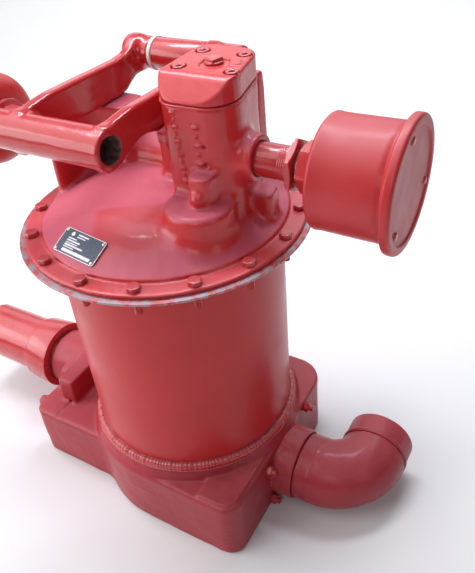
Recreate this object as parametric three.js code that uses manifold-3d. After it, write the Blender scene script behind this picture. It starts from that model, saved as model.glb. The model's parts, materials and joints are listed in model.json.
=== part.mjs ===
// A flanged pressure reducing valve with a pilot tower, a yoke lever and two silencers.
// Millimetres, +Z up. The origin is on the drum's axis, on the ground.

import * as THREE from 'three';
import { mergeVertices } from 'three/addons/utils/BufferGeometryUtils.js';
import Module from 'manifold-3d';

const wasm = await Module();
wasm.setup();

// ---- Driving dimensions ---------------------------------------------------------------------

const GAP = 0.3;                 // clearance between neighbouring pieces

// sides given to a round surface, by its size
const FINE = 40;
const ROUND = 24;
const SMALL = 16;
const TINY = 8;

// base casting
const BASE_TOP = 98.5;
const BASE_FRONT = -150;
const BASE_BACK = 138;
const BASE_RIGHT = 146;
const BASE_LEFT = -219;
const LEFT_TOP = 89.4;           // the left half of the base is a little lower
const LEFT_FRONT = -122;
const COLLAR_R = 143;            // ring that the drum stands in
const COLLAR_TOP = 114;
const PAD_LEFT = 89;             // left edge of the machined pad on the front right corner
const PAD_RISE = 3;
const FLOOR = 9;                 // thickness of the casting's floor
const CHAMBER_R = 124;

// inlet, on the left
const INLET_Y = -9;
const INLET_Z = 90;
const PIPE_R = 44;
const PIPE_WALL = 5;
const SLEEVE_R = 52;
const INLET_END = -405;

// outlet, on the right
const OUTLET_Y = -8;
const OUTLET_Z = 50;
const OUTLET_BOSS_R = 49;
const OUTLET_FACE = 176;
const ELBOW_LEAD = 20;           // straight length before the bend
const ELBOW_TUBE_R = 46;
const END_SLEEVE = 34;           // length of the sleeve on the elbow's end
const ELBOW_R = 58;              // bend radius of the elbow's centre line

// drum and flanges
const DRUM_R = 136.5;
const DRUM_WALL = 5;
const DRUM_BOTTOM = 114.5;
const FLANGE_Z = 412.5;           // underside of the lower flange
const LOWER_FLANGE = 3.2;
const GASKET = 1;
const COVER_FLANGE = 3.7;
const FLANGE_R = 171.4;          // the lower flange stands out beyond the cover's bolting ring
const RING_R = 165.2;
const BOLT_CIRCLE_R = 155;
const BOLTS = 16;
const BOLT_END = 21.5;           // how far a cover bolt stands out under the lower flange

// cover casting
const COVER_Z = FLANGE_Z + LOWER_FLANGE + GASKET + 2 * 0.3;   // underside of the cover
const COVER_TOP = COVER_Z + COVER_FLANGE;                      // bolting face
const DOME_R = 144.5;
const LID_STEP = 3.6;            // the small upright step at the lid's edge
const SHOULDER_R = 112;          // where the lid's flank rounds over into its crown
const CROWN_Z = COVER_TOP + 29.5;
const PLATE_WIDTH = 62;          // nameplate, on the lid's flank
const PLATE_HEIGHT = 29.5;
const PLATE_THICK = 0.8;
const PLATE_TILT = 28.5;
const PLATE_TURN = -8.7;
const TOWER = { x0: 31.4, x1: 119.4, y0: -35.6, y1: 68.4, top: 566 };
const LOBE = { x: 78.4, y: -43.8, r: 37.4, top: 470.5 };
const CAP_Z = 568;
const CAP_TOP = 593.6;
const SEAT_DEPTH = 3.2;          // round seats of the cap's four screws
const SOCKET_HEAD = 3.6;
const PLUG_X = 72;
const PLUG_Y = 21;
const PLUG_RECESS_R = 12;
const PLUG_RECESS = 2;
const PLUG_SHANK_R = 6;
const PLUG_SIDE = 14;            // across the flats of its square head
const PLUG_RISE = 4;
const PLUG_TURN = -20;

// silencers
const AXIS_Y = 4.6;
const AXIS_Z = 506;
const NIPPLE_R = 17.8;
const CAN_R = 57.5;
const PLATE_R = 66;

// yoke and its pivot
const PIVOT_Y = 118.5;
const PIVOT_Z = 556.9;
const PIVOT_R = 18.9;
const SHAFT_R = 10;
const BAR_Y = -91.2;
const BAR_Z = 539.9;
const BAR_R = 20.6;
const BAR_BORE = 14;
const ARM_T = 13.7;
const RIGHT_ARM_X = 4.6;
const LEFT_ARM_X = -104.9;
const BAR_LEFT = -170;
const BOSS_LEFT = -112;          // outer ends of the yoke's two pivot bosses
const BOSS_RIGHT = 48;
const WASHER_LEFT = -74.4;       // left face of the white washer

// valve inside
const SEAT_Z = 92.3;
const PISTON_Z = 268;
const SPOOL_X = 77;
const SPOOL_Y = 16;

// ---- Materials ------------------------------------------------------------------------------

const paint = (color) => new THREE.MeshStandardMaterial({ color, roughness: 0.35, metalness: 0.1 });
const redPaint = () => paint(0xc23a3a);
const steel = () => new THREE.MeshStandardMaterial({ color: 0x8d9094, roughness: 0.4, metalness: 0.9 });
const springSteel = () => new THREE.MeshStandardMaterial({ color: 0x4c5056, roughness: 0.4, metalness: 0.8 });
const brass = () => new THREE.MeshStandardMaterial({ color: 0xb58a3c, roughness: 0.35, metalness: 0.9 });
const nylon = () => new THREE.MeshStandardMaterial({ color: 0xe9e6df, roughness: 0.5, metalness: 0 });
const gasketSheet = () => new THREE.MeshStandardMaterial({ color: 0x6d6f70, roughness: 0.8, metalness: 0 });
const plateMetal = () => new THREE.MeshStandardMaterial({ color: 0x2c3440, roughness: 0.4, metalness: 0.5 });

// ---- Helpers --------------------------------------------------------------------------------

const rad = THREE.MathUtils.degToRad;

// A closed three.js geometry as a solid, with shared vertices and no zero-area triangles.
function solid(geometry) {
  const bare = geometry.clone();
  bare.deleteAttribute('normal');
  bare.deleteAttribute('uv');
  const merged = mergeVertices(bare, 1e-4);
  const index = merged.index.array;
  const triangles = [];
  for (let i = 0; i < index.length; i += 3) {
    const [a, b, c] = [index[i], index[i + 1], index[i + 2]];
    if (a !== b && b !== c && c !== a) triangles.push(a, b, c);
  }
  const mesh = new wasm.Mesh({
    numProp: 3,
    vertProperties: Float32Array.from(merged.attributes.position.array),
    triVerts: Uint32Array.from(triangles),
  });
  return new wasm.Manifold(mesh);
}

function toGeometry(body) {
  const mesh = body.getMesh();
  const geometry = new THREE.BufferGeometry();
  geometry.setAttribute('position', new THREE.BufferAttribute(mesh.vertProperties, 3));
  geometry.setIndex(new THREE.BufferAttribute(mesh.triVerts, 1));
  geometry.computeVertexNormals();
  return geometry;
}

function join(...geometries) {
  return geometries.map(solid).reduce((whole, next) => whole.add(next));
}

function cut(body, ...geometries) {
  return geometries.map(solid).reduce((whole, next) => whole.subtract(next), body);
}

// A ring or disc turned about +Z from [radius, height] points, listed from the bottom up.
function turned(points, segments = ROUND) {
  const profile = points.map(([r, z]) => new THREE.Vector2(r, z));
  return new THREE.LatheGeometry(profile, segments).rotateX(Math.PI / 2);
}

// A tube wall about +Z, as a profile that closes on itself.
function ring(outer, inner, z0, z1, segments = ROUND) {
  return turned([[inner, z0], [outer, z0], [outer, z1], [inner, z1], [inner, z0]], segments);
}

// Round bars along each axis, between two stations.
function barZ(r, z0, z1, x = 0, y = 0, segments = SMALL) {
  const bar = new THREE.CylinderGeometry(r, r, z1 - z0, segments).rotateX(Math.PI / 2);
  return bar.translate(x, y, (z0 + z1) / 2);
}

function barX(r, x0, x1, y, z, segments = SMALL) {
  const bar = new THREE.CylinderGeometry(r, r, x1 - x0, segments).rotateZ(Math.PI / 2);
  return bar.translate((x0 + x1) / 2, y, z);
}

function barY(r, y0, y1, x, z, segments = SMALL) {
  return new THREE.CylinderGeometry(r, r, y1 - y0, segments).translate(x, (y0 + y1) / 2, z);
}

function block(x0, x1, y0, y1, z0, z1) {
  const box = new THREE.BoxGeometry(x1 - x0, y1 - y0, z1 - z0);
  return box.translate((x0 + x1) / 2, (y0 + y1) / 2, (z0 + z1) / 2);
}

// An outline of straight sides whose corners [x, y, radius] are rounded by true arcs.
function outline(corners, arcSegments = 3) {
  const points = [];
  corners.forEach(([x, y, r], i) => {
    const before = corners[(i + corners.length - 1) % corners.length];
    const after = corners[(i + 1) % corners.length];
    const corner = new THREE.Vector2(x, y);
    if (!r) {
      points.push(corner);
      return;
    }
    const toBefore = new THREE.Vector2(before[0], before[1]).sub(corner).normalize();
    const toAfter = new THREE.Vector2(after[0], after[1]).sub(corner).normalize();
    const half = Math.acos(toBefore.dot(toAfter)) / 2;
    const middle = toBefore.clone().add(toAfter).normalize();
    const centre = corner.clone().addScaledVector(middle, r / Math.sin(half));
    const start = corner.clone().addScaledVector(toBefore, r / Math.tan(half)).sub(centre);
    const turn = toAfter.clone().cross(toBefore) > 0 ? 1 : -1;
    for (let step = 0; step <= arcSegments; step += 1) {
      const angle = turn * (Math.PI - 2 * half) * (step / arcSegments);
      points.push(start.clone().rotateAround(new THREE.Vector2(), angle).add(centre));
    }
  });
  return new THREE.Shape(points);
}

// An outline in plan, raised from z0 to z1.
function slab(shape, z0, z1) {
  return new THREE.ExtrudeGeometry(shape, { depth: z1 - z0, bevelEnabled: false }).translate(0, 0, z0);
}

// An outline in plan with a rounded top edge and a flat foot.
function softSlab(shape, z0, z1, edge, steps = 2) {
  const raised = new THREE.ExtrudeGeometry(shape, {
    depth: z1 - z0 - edge,
    bevelEnabled: true,
    bevelThickness: edge,
    bevelSize: edge,
    bevelOffset: -edge,
    bevelSegments: steps,
  });
  const position = raised.attributes.position;
  for (let i = 0; i < position.count; i += 1) {
    position.setZ(i, Math.max(position.getZ(i), 0));
  }
  return raised.translate(0, 0, z0);
}

// An outline drawn in (y, z), raised along +X from x0 to x1.
function sideSlab(shape, x0, x1) {
  const raised = new THREE.ExtrudeGeometry(shape, { depth: x1 - x0, bevelEnabled: false });
  return raised.rotateZ(Math.PI / 2).rotateY(Math.PI / 2).translate(x0, 0, 0);
}

// A hexagon across the flats, raised along +Z or +X.
function hexZ(flats, z0, z1, x = 0, y = 0) {
  return barZ(flats / Math.sqrt(3), z0, z1, x, y, 6);
}

function hexX(flats, x0, x1, y, z) {
  return barX(flats / Math.sqrt(3), x0, x1, y, z, 6);
}

const valve = new THREE.Group();

function add(name, shape, material, parent = valve) {
  const geometry = shape.isBufferGeometry ? shape : toGeometry(shape);
  const mesh = new THREE.Mesh(geometry, material);
  mesh.name = name;
  parent.add(mesh);
  return mesh;
}

// ---- Base -----------------------------------------------------------------------------------

function baseCasting() {
  const rightPlan = outline([
    [0, BASE_FRONT, 0], [BASE_RIGHT, BASE_FRONT, 24], [BASE_RIGHT, BASE_BACK, 42], [-40, BASE_BACK, 0],
    [-40, 0, 0], [0, 0, 0],
  ]);
  const leftPlan = outline([
    [BASE_LEFT, LEFT_FRONT, 16], [0, LEFT_FRONT, 0], [0, 112, 0], [BASE_LEFT, 112, 20],
  ]);
  const padPlan = outline([
    [PAD_LEFT, BASE_FRONT + 6, 2], [BASE_RIGHT - 5, BASE_FRONT + 6, 20],
    [BASE_RIGHT - 5, -40, 0], [PAD_LEFT, -40, 0],
  ], 4);
  const flange = outline([
    [INLET_Y - 77, LEFT_TOP - 20, 0], [INLET_Y + 77, LEFT_TOP - 20, 0],
    [INLET_Y + 77, 131, 8], [INLET_Y - 77, 131, 3],
  ]);
  const endPlate = outline([
    [-84, LEFT_TOP - 20, 0], [66, LEFT_TOP - 20, 0], [50, 118, 10], [-58, 118, 10],
  ]);
  const outside = join(
    softSlab(rightPlan, 0, BASE_TOP, 6),
    turned([[0, 0], [150, 0], [150, BASE_TOP - 5], [145, BASE_TOP], [0, BASE_TOP]], FINE),
    softSlab(leftPlan, 0, LEFT_TOP, 6),
    softSlab(padPlan, BASE_TOP - 4, BASE_TOP + PAD_RISE, 1.2, 1),
    turned([[0, BASE_TOP - 2], [COLLAR_R, BASE_TOP - 2], [COLLAR_R, COLLAR_TOP], [0, COLLAR_TOP]], FINE),
    sideSlab(flange, -191, -164),
    sideSlab(endPlate, -214, -198),
    barX(PIPE_R - 1, -246, -170, INLET_Y, INLET_Z, ROUND),
    barX(8, -226, -214, -98, LEFT_TOP - 8, TINY),
  );
  const chamber = turned([[0, FLOOR], [CHAMBER_R, FLOOR], [CHAMBER_R, COLLAR_TOP + 1], [0, COLLAR_TOP + 1]]);
  const seatPost = turned([[0, 0], [58, 0], [58, SEAT_Z - GAP], [0, SEAT_Z - GAP]], ROUND);
  const outletDuct = barX(42, 0, BASE_RIGHT - 2, OUTLET_Y, OUTLET_Z);
  const cavity = solid(chamber).subtract(solid(seatPost)).subtract(solid(outletDuct));
  return cut(
    outside.subtract(cavity),
    block(BASE_RIGHT, BASE_RIGHT + 10, -80, 80, -1, BASE_TOP + 1),
    barZ(48, FLOOR + 4, SEAT_Z + 1, 0, 0, ROUND),
    barX(36, 0, BASE_RIGHT + 1, OUTLET_Y, OUTLET_Z),
    barX(34, -247, -176, INLET_Y, INLET_Z),
    // the inlet turns down behind its flange and enters the chamber under the left block's top
    block(-186, -110, INLET_Y - 40, INLET_Y + 40, 24, LEFT_TOP - 10),
  );
}

add('base_casting', baseCasting(), redPaint());

// ---- Inlet ----------------------------------------------------------------------------------

function tubeX(outer, inner, x0, x1, y, z, segments = ROUND) {
  return cut(solid(barX(outer, x0, x1, y, z, segments)), barX(inner, x0 - 1, x1 + 1, y, z, segments));
}

add('inlet_sleeve', tubeX(SLEEVE_R, PIPE_R + GAP, -296, -250, INLET_Y, INLET_Z), redPaint());
add('inlet_pipe', tubeX(PIPE_R - GAP, PIPE_R - PIPE_WALL, INLET_END, -251, INLET_Y, INLET_Z), redPaint());

// ---- Outlet ---------------------------------------------------------------------------------

function elbow() {
  const turn = new THREE.CurvePath();
  const start = new THREE.Vector3(OUTLET_FACE + GAP, OUTLET_Y, OUTLET_Z);
  const bendStart = start.clone().add(new THREE.Vector3(ELBOW_LEAD, 0, 0));
  turn.add(new THREE.LineCurve3(start, bendStart));
  turn.add(new QuarterBend(bendStart, ELBOW_R));
  const section = (r) => new THREE.Shape().absarc(0, 0, r, 0, 2 * Math.PI, false);
  const raise = (r) => new THREE.ExtrudeGeometry(section(r), {
    steps: 9, curveSegments: 8, bevelEnabled: false, extrudePath: turn,
  });
  const inside = solid(raise(PIPE_R - PIPE_WALL));
  const mouth = barX(PIPE_R - PIPE_WALL, OUTLET_FACE - 2, OUTLET_FACE + 4, OUTLET_Y, OUTLET_Z);
  const endY = OUTLET_Y + ELBOW_R;
  const tail = barY(PIPE_R - PIPE_WALL, endY - 3, endY + 3, bendStart.x + ELBOW_R, OUTLET_Z);
  return cut(solid(raise(ELBOW_TUBE_R)).subtract(inside), mouth, tail);
}

// A quarter circle in plan that starts along +X and ends along +Y.
class QuarterBend extends THREE.Curve {
  constructor(start, radius) {
    super();
    this.start = start;
    this.radius = radius;
  }

  getPoint(t, target = new THREE.Vector3()) {
    const angle = t * Math.PI / 2;
    const along = this.radius * Math.sin(angle);
    const across = this.radius * (1 - Math.cos(angle));
    return target.set(this.start.x + along, this.start.y + across, this.start.z);
  }
}

add('outlet_boss', tubeX(OUTLET_BOSS_R, 36, BASE_RIGHT + GAP, OUTLET_FACE, OUTLET_Y, OUTLET_Z), redPaint());
add('outlet_elbow', elbow(), redPaint());

function outletSleeve() {
  const x = OUTLET_FACE + GAP + ELBOW_LEAD + ELBOW_R;
  const y = OUTLET_Y + ELBOW_R + GAP;
  const bore = barY(PIPE_R - PIPE_WALL, y - 1, y + END_SLEEVE + 1, x, OUTLET_Z, ROUND);
  return cut(solid(barY(ELBOW_TUBE_R + 1, y, y + END_SLEEVE, x, OUTLET_Z, ROUND)), bore);
}

add('outlet_end_sleeve', outletSleeve(), redPaint());

function outletBolt() {
  return join(hexX(13, 0, 7, 0, 0), barX(4.2, 6, 13, 0, 0, TINY));
}

const OUTLET_BOLTS = [[59, 88], [-60, 82], [-52, 10]];
OUTLET_BOLTS.forEach(([y, z], i) => {
  const bolt = add(`outlet_bolt_${i + 1}`, outletBolt(), redPaint());
  bolt.position.set(BASE_RIGHT + GAP, y, z);
});

// ---- Drum -----------------------------------------------------------------------------------

function boltHoles(r, z0, z1) {
  const holes = [];
  for (let i = 0; i < BOLTS; i += 1) {
    const angle = i * 2 * Math.PI / BOLTS;
    const x = BOLT_CIRCLE_R * Math.cos(angle);
    const y = BOLT_CIRCLE_R * Math.sin(angle);
    holes.push(barZ(r, z0, z1, x, y, TINY));
  }
  return holes;
}

const DRUM_IN = DRUM_R - DRUM_WALL;
add('drum_shell', ring(DRUM_R, DRUM_IN, DRUM_BOTTOM, FLANGE_Z - GAP, FINE), redPaint());
add('weld_bead', turned([
  [DRUM_R + GAP, COLLAR_TOP + GAP], [COLLAR_R + 1, COLLAR_TOP + GAP], [COLLAR_R + 1, COLLAR_TOP + 3],
  [DRUM_R + 4.5, COLLAR_TOP + 8], [DRUM_R + GAP, COLLAR_TOP + 10], [DRUM_R + GAP, COLLAR_TOP + GAP],
], FINE), redPaint());

const flangeTop = FLANGE_Z + LOWER_FLANGE;
add('lower_flange', cut(
  solid(ring(FLANGE_R, DRUM_IN, FLANGE_Z, flangeTop, FINE)),
  ...boltHoles(4.6, FLANGE_Z - 1, flangeTop + 1),
), redPaint());
add('cover_gasket', cut(
  solid(ring(RING_R - 0.6, DRUM_IN, flangeTop + GAP, flangeTop + GAP + GASKET, FINE)),
  ...boltHoles(4.6, flangeTop, flangeTop + 4),
), gasketSheet());

// ---- Cover ----------------------------------------------------------------------------------

// The lid from its bolting flange in: a sloping flank, a rounded shoulder and a nearly flat crown.
function lidProfile() {
  return [
    [0, COVER_Z], [RING_R, COVER_Z], [RING_R, COVER_TOP - 2.5], [RING_R - 2.5, COVER_TOP],
    [DOME_R, COVER_TOP], [DOME_R - 0.6, COVER_TOP + LID_STEP], [SHOULDER_R + 8, CROWN_Z - 13.3],
    [SHOULDER_R - 2, CROWN_Z - 9], [SHOULDER_R - 26, CROWN_Z - 3.3], [SHOULDER_R / 2, CROWN_Z - 1], [0, CROWN_Z],
  ];
}

// Lays a shape on the lid's front left flank, where the nameplate is.
function onFlank(shape) {
  return shape.rotateX(rad(PLATE_TILT)).rotateZ(rad(PLATE_TURN)).translate(-25.6, -120.7, 436.4);
}

// The flat that is cut on the flank for the nameplate.
function plateSeat() {
  const depth = 8;
  const seat = new THREE.BoxGeometry(PLATE_WIDTH + 5, PLATE_HEIGHT + 4, depth);
  return onFlank(seat.translate(0, 0, depth / 2 - PLATE_THICK / 2 - GAP));
}

// The hollow under the dome, open to the drum.
function lidHollow() {
  return turned([
    [0, COVER_Z - 1], [DRUM_IN - 4, COVER_Z - 1], [DRUM_IN - 8, COVER_Z + 3],
    [SHOULDER_R - 6, CROWN_Z - 14], [0, CROWN_Z - 7],
  ]);
}

function towerBody() {
  const { x0, x1, y0, y1, top } = TOWER;
  const plan = outline([[x0, y0, 22], [x1, y0 + 4, 30], [x1 - 22, y1, 22], [x0, y1, 14]]);
  return slab(plan, COVER_Z + 4, top);
}

function lobe() {
  const { x, y, r, top } = LOBE;
  return turned([
    [0, COVER_Z + 4], [r + 9, COVER_Z + 4], [r + 4, COVER_TOP + 14], [r, COVER_TOP + 24],
    [r, top - 9], [r - 3, top - 3], [r - 10, top], [0, top],
  ], ROUND).translate(x, y, 0);
}

// The rear trunk: a round-backed duct from the tower to the block that carries the left silencer.
function trunk() {
  const ductY = 66;
  return [
    barX(31, -118, 60, ductY, 452),
    block(-118, 60, ductY - 36, ductY + 31, COVER_Z + 4, 452),
    softSlab(outline([
      [-137, -32, 4], [-127, -32, 4], [-125, 28, 34], [-76, 32, 4],
      [-76, 78, 6], [-127, 78, 10], [-137, 30, 8],
    ], 5), COVER_Z + 6, 521, 3),
    barX(27, -149, -130, AXIS_Y, AXIS_Z - 14),
    softSlab(outline([[-16, 18, 14], [40, 18, 4], [40, 60, 4], [-16, 60, 14]]), COVER_Z + 6, 516, 3),
  ];
}

// Saddle posts that carry the pivot tube, and the upright behind the tower.
function rearPosts() {
  const upright = outline([[84, COVER_Z + 4, 0], [112, COVER_Z + 4, 0], [106, 558, 5], [94, 558, 5]]);
  const saddle = outline([
    [84, COVER_Z + 4, 0], [124, COVER_Z + 4, 0], [129, PIVOT_Z - 12, 0], [108, PIVOT_Z - 12, 0],
  ]);
  return [sideSlab(upright, 68, 80), sideSlab(saddle, -60, -46), sideSlab(saddle, -22, -8)];
}

function coverCasting() {
  const sideLug = block(20.8, 36, -24, 10, 517, 531);
  const frontBossPlan = outline([[71, -53, 9], [97, -53, 9], [97, -20, 0], [71, -20, 0]]);
  const frontBoss = slab(frontBossPlan, COVER_Z + 20, 501.5);
  const sideBoss = barX(25, 100, 128, AXIS_Y, AXIS_Z);
  const sideFootPlan = outline([[90, 2, 0], [137, 6, 8], [131, 37, 8], [90, 33, 0]]);
  const sideFoot = softSlab(sideFootPlan, COVER_Z + 5, 462, 3);
  const body = join(
    turned(lidProfile(), FINE), towerBody(), lobe(), frontBoss, sideBoss, sideLug, sideFoot,
    ...trunk(), ...rearPosts(),
  );
  const pivotRoom = barX(PIVOT_R + GAP, -75, 4, PIVOT_Y, PIVOT_Z, ROUND);
  const screwHoles = CAP_SCREWS.map(([x, y]) => barZ(4.3, 548, TOWER.top + 1, x, y, TINY));
  return cut(
    body,
    lidHollow(),
    plateSeat(),
    ...boltHoles(4.6, COVER_Z - 1, COVER_TOP + 1),
    barZ(16, COVER_Z - 1, TOWER.top + 1, SPOOL_X, SPOOL_Y),
    barX(NIPPLE_R + GAP, 112, 129, AXIS_Y, AXIS_Z, ROUND),
    barX(11, 60, 113, AXIS_Y + 6, AXIS_Z, TINY),
    barX(NIPPLE_R + GAP, -150, -132, AXIS_Y, AXIS_Z - 14, ROUND),
    barX(6, -134, -129, AXIS_Y, AXIS_Z - 14, TINY),
    barY(3, AXIS_Y, 56, -130.5, AXIS_Z - 14, TINY),
    pivotRoom,
    ...screwHoles,
  );
}

const CAP_SCREWS = [[44.9, -1], [104, 0.6], [92, 47.7], [43.8, 46]];

add('cover_casting', coverCasting(), redPaint());

// Each cover bolt runs down through the cover, the gasket and the lower flange, and stands out below.
function coverBolt() {
  const shank = barZ(4, FLANGE_Z - BOLT_END, COVER_TOP + 1, 0, 0, TINY);
  return join(hexZ(13, COVER_TOP + GAP, COVER_TOP + 5.6), shank);
}

for (let i = 0; i < BOLTS; i += 1) {
  const angle = i * 360 / BOLTS;
  const name = `cover_bolt_${String(i + 1).padStart(2, '0')}`;
  const bolt = add(name, coverBolt(), redPaint());
  bolt.position.set(BOLT_CIRCLE_R * Math.cos(rad(angle)), BOLT_CIRCLE_R * Math.sin(rad(angle)), 0);
}

add('nameplate', onFlank(new THREE.BoxGeometry(PLATE_WIDTH, PLATE_HEIGHT, PLATE_THICK)), plateMetal());

// ---- Pilot cap ------------------------------------------------------------------------------

function capOutline(inset) {
  const { x0, x1, y0, y1 } = TOWER;
  return outline([
    [x0 - 2 + inset, y0 - 1 + inset, 26], [x1 - inset, y0 + 4 + inset, 32],
    [x1 - 22 - inset, y1 - inset, 22], [x0 - 2 + inset, y1 - inset, 14],
  ]);
}

function pilotCap() {
  const frontSlope = outline([
    [-60, CAP_Z + 1.6, 0], [-60, 620, 0], [-10, 620, 0], [-10, CAP_TOP + 0.1, 0],
    [-15, CAP_TOP - 1.2, 0], [-21, CAP_TOP - 5.5, 0], [-36.5, CAP_Z + 1.6, 0],
  ]);
  const holes = CAP_SCREWS.map(([x, y]) => barZ(4.3, CAP_Z - 1, CAP_TOP + 1, x, y, TINY));
  const seats = CAP_SCREWS.map(([x, y]) => barZ(8.2, CAP_TOP - SEAT_DEPTH, CAP_TOP + 1, x, y));
  return cut(
    solid(softSlab(capOutline(0), CAP_Z, CAP_TOP, 4)),
    sideSlab(frontSlope, 20, 130),
    barZ(PLUG_RECESS_R, CAP_TOP - PLUG_RECESS, CAP_TOP + 1, PLUG_X, PLUG_Y),
    barZ(PLUG_SHANK_R + GAP, CAP_TOP - 14, CAP_TOP, PLUG_X, PLUG_Y, TINY),
    ...holes,
    ...seats,
  );
}

add('pilot_cap', pilotCap(), redPaint());
add('cap_gasket', cut(
  solid(slab(capOutline(-0.8), TOWER.top + GAP, CAP_Z - GAP)),
  ...CAP_SCREWS.map(([x, y]) => barZ(4.3, TOWER.top, CAP_Z, x, y, TINY)),
  barZ(16, TOWER.top, CAP_Z, SPOOL_X, SPOOL_Y),
), gasketSheet());

function socketScrew() {
  const head = CAP_TOP - SEAT_DEPTH + GAP;
  const body = join(barZ(6.6, head, head + SOCKET_HEAD, 0, 0), barZ(4, 552, head + 1, 0, 0, TINY));
  return cut(body, hexZ(6, head + 1.2, head + SOCKET_HEAD + 1));
}

CAP_SCREWS.forEach(([x, y], i) => {
  add(`cap_screw_${i + 1}`, socketScrew(), redPaint()).position.set(x, y, 0);
});

// The square-headed plug in the cap, for priming the pilot.
function capPlug() {
  const seat = CAP_TOP - PLUG_RECESS + GAP;
  const half = PLUG_SIDE / 2;
  const head = block(-half, half, -half, half, seat + 1, CAP_TOP + PLUG_RISE);
  return join(
    head.rotateZ(rad(PLUG_TURN)),
    barZ(PLUG_RECESS_R - 2, seat, seat + 2, 0, 0),
    barZ(PLUG_SHANK_R, CAP_TOP - 13.5, seat + 1, 0, 0, TINY),
  );
}

add('cap_plug', capPlug(), redPaint()).position.set(PLUG_X, PLUG_Y, 0);

// ---- Silencers ------------------------------------------------------------------------------

// One silencer along +X from its casting: nipple, locknut, reducer, can and end plate.
// Stations are distances from x = 0; `side` mirrors it for the left hand.
function silencer(name, stations, side, z) {
  const group = new THREE.Group();
  group.position.set(0, AXIS_Y, z);
  group.rotation.z = side > 0 ? 0 : Math.PI;
  valve.add(group);
  const { root, nut, reducer, can, end } = stations;
  const bore = NIPPLE_R - 4;
  const place = (piece, shape) => add(`${name}_${piece}`, shape, redPaint(), group);
  place('nipple', tubeX(NIPPLE_R, bore, root, can - 3, 0, 0));
  const nutBore = barX(NIPPLE_R + GAP, nut - 1, nut + 8, 0, 0, ROUND);
  place('locknut', cut(solid(hexX(50, nut, nut + 7, 0, 0)), nutBore));
  place('reducer', cut(
    join(
      hexX(46, reducer, reducer + 14, 0, 0).rotateX(rad(30)),
      barX(21.5, reducer + 13, can - 3, 0, 0),
      barX(29, can - 5, can - GAP, 0, 0),
    ),
    barX(NIPPLE_R + GAP, reducer - 1, can, 0, 0, ROUND),
  ));
  const shell = turned([
    [NIPPLE_R + 3, can], [CAN_R - 3, can], [CAN_R, can + 3], [CAN_R, end - GAP],
    [CAN_R - 2.5, end - GAP], [CAN_R - 2.5, can + 3], [NIPPLE_R + 3, can + 3], [NIPPLE_R + 3, can],
  ], ROUND).rotateY(Math.PI / 2);
  place('can', shell);
  const plate = turned([
    [0, end], [PLATE_R, end], [PLATE_R, end + 7], [PLATE_R - 3, end + 10], [PLATE_R - 10, end + 10],
    [PLATE_R - 11, end + 8], [0, end + 8],
  ], ROUND).rotateY(Math.PI / 2);
  place('end_plate', plate);
}

silencer('right_silencer', { root: 113, nut: 165, reducer: 176, can: 199, end: 274 }, 1, AXIS_Z);
silencer('left_silencer', { root: 133, nut: 180, reducer: 191, can: 235, end: 310 }, -1, AXIS_Z - 14);

// ---- Yoke -----------------------------------------------------------------------------------

// The side view of one arm, drawn in (y, z), with a neck at each end.
function armOutline() {
  const shape = new THREE.Shape();
  shape.moveTo(BAR_Y - 8, BAR_Z - BAR_R);
  shape.bezierCurveTo(-68, 519, -58, 531, -32, 531.5);
  shape.bezierCurveTo(-16, 531, -12, 521.6, 2, 521.6);
  shape.lineTo(62, 521.6);
  shape.bezierCurveTo(80, 521.6, 88, 534, 104, 535);
  shape.lineTo(PIVOT_Y, PIVOT_Z - PIVOT_R);
  shape.lineTo(PIVOT_Y, PIVOT_Z + PIVOT_R);
  shape.bezierCurveTo(100, 574, 92, 565, 70, 563);
  shape.lineTo(-50, 566);
  shape.lineTo(BAR_Y, BAR_Z + BAR_R + 2);
  return shape;
}

function yokeFrame() {
  const arm = (x) => sideSlab(armOutline(), x, x + ARM_T);
  const boss = (x0, x1) => barX(PIVOT_R, x0, x1, PIVOT_Y, PIVOT_Z, ROUND);
  const bar = barX(BAR_R, BAR_LEFT, RIGHT_ARM_X + ARM_T, BAR_Y, BAR_Z, ROUND);
  const body = join(
    bar, arm(RIGHT_ARM_X), arm(LEFT_ARM_X),
    boss(BOSS_LEFT, WASHER_LEFT - GAP), boss(RIGHT_ARM_X, BOSS_RIGHT),
  );
  return cut(
    body,
    barX(BAR_BORE, BAR_LEFT - 1, RIGHT_ARM_X + ARM_T + 1, BAR_Y, BAR_Z),
    barX(SHAFT_R + 0.15, BOSS_LEFT - 1, BOSS_RIGHT + 1, PIVOT_Y, PIVOT_Z, ROUND),
  );
}

add('yoke_frame', yokeFrame(), redPaint());
add('pivot_tube', tubeX(PIVOT_R, SHAFT_R + GAP, -69, 0.6, PIVOT_Y, PIVOT_Z), redPaint());
add('pivot_shaft', join(
  barX(SHAFT_R, BOSS_LEFT - 4, BOSS_RIGHT + 4, PIVOT_Y, PIVOT_Z, ROUND),
  barX(13, BOSS_LEFT - 6, BOSS_LEFT - GAP, PIVOT_Y, PIVOT_Z),
  barX(13, BOSS_RIGHT + GAP, BOSS_RIGHT + 6, PIVOT_Y, PIVOT_Z),
), steel());

function thrustWasher(outer, x0, x1) {
  return tubeX(outer, SHAFT_R + GAP, x0, x1, PIVOT_Y, PIVOT_Z);
}

add('left_thrust_washer', thrustWasher(PIVOT_R + 1, WASHER_LEFT, -69.3), nylon());
add('right_thrust_washer', thrustWasher(PIVOT_R, 0.9, RIGHT_ARM_X - GAP), redPaint());

// ---- Valve inside ---------------------------------------------------------------------------

add('valve_seat', turned([
  [44, SEAT_Z], [56, SEAT_Z], [56, SEAT_Z + 7], [52, SEAT_Z + 9], [44, SEAT_Z + 9], [41, SEAT_Z + 6],
  [41, SEAT_Z + 2], [44, SEAT_Z],
], ROUND), brass());

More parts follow.
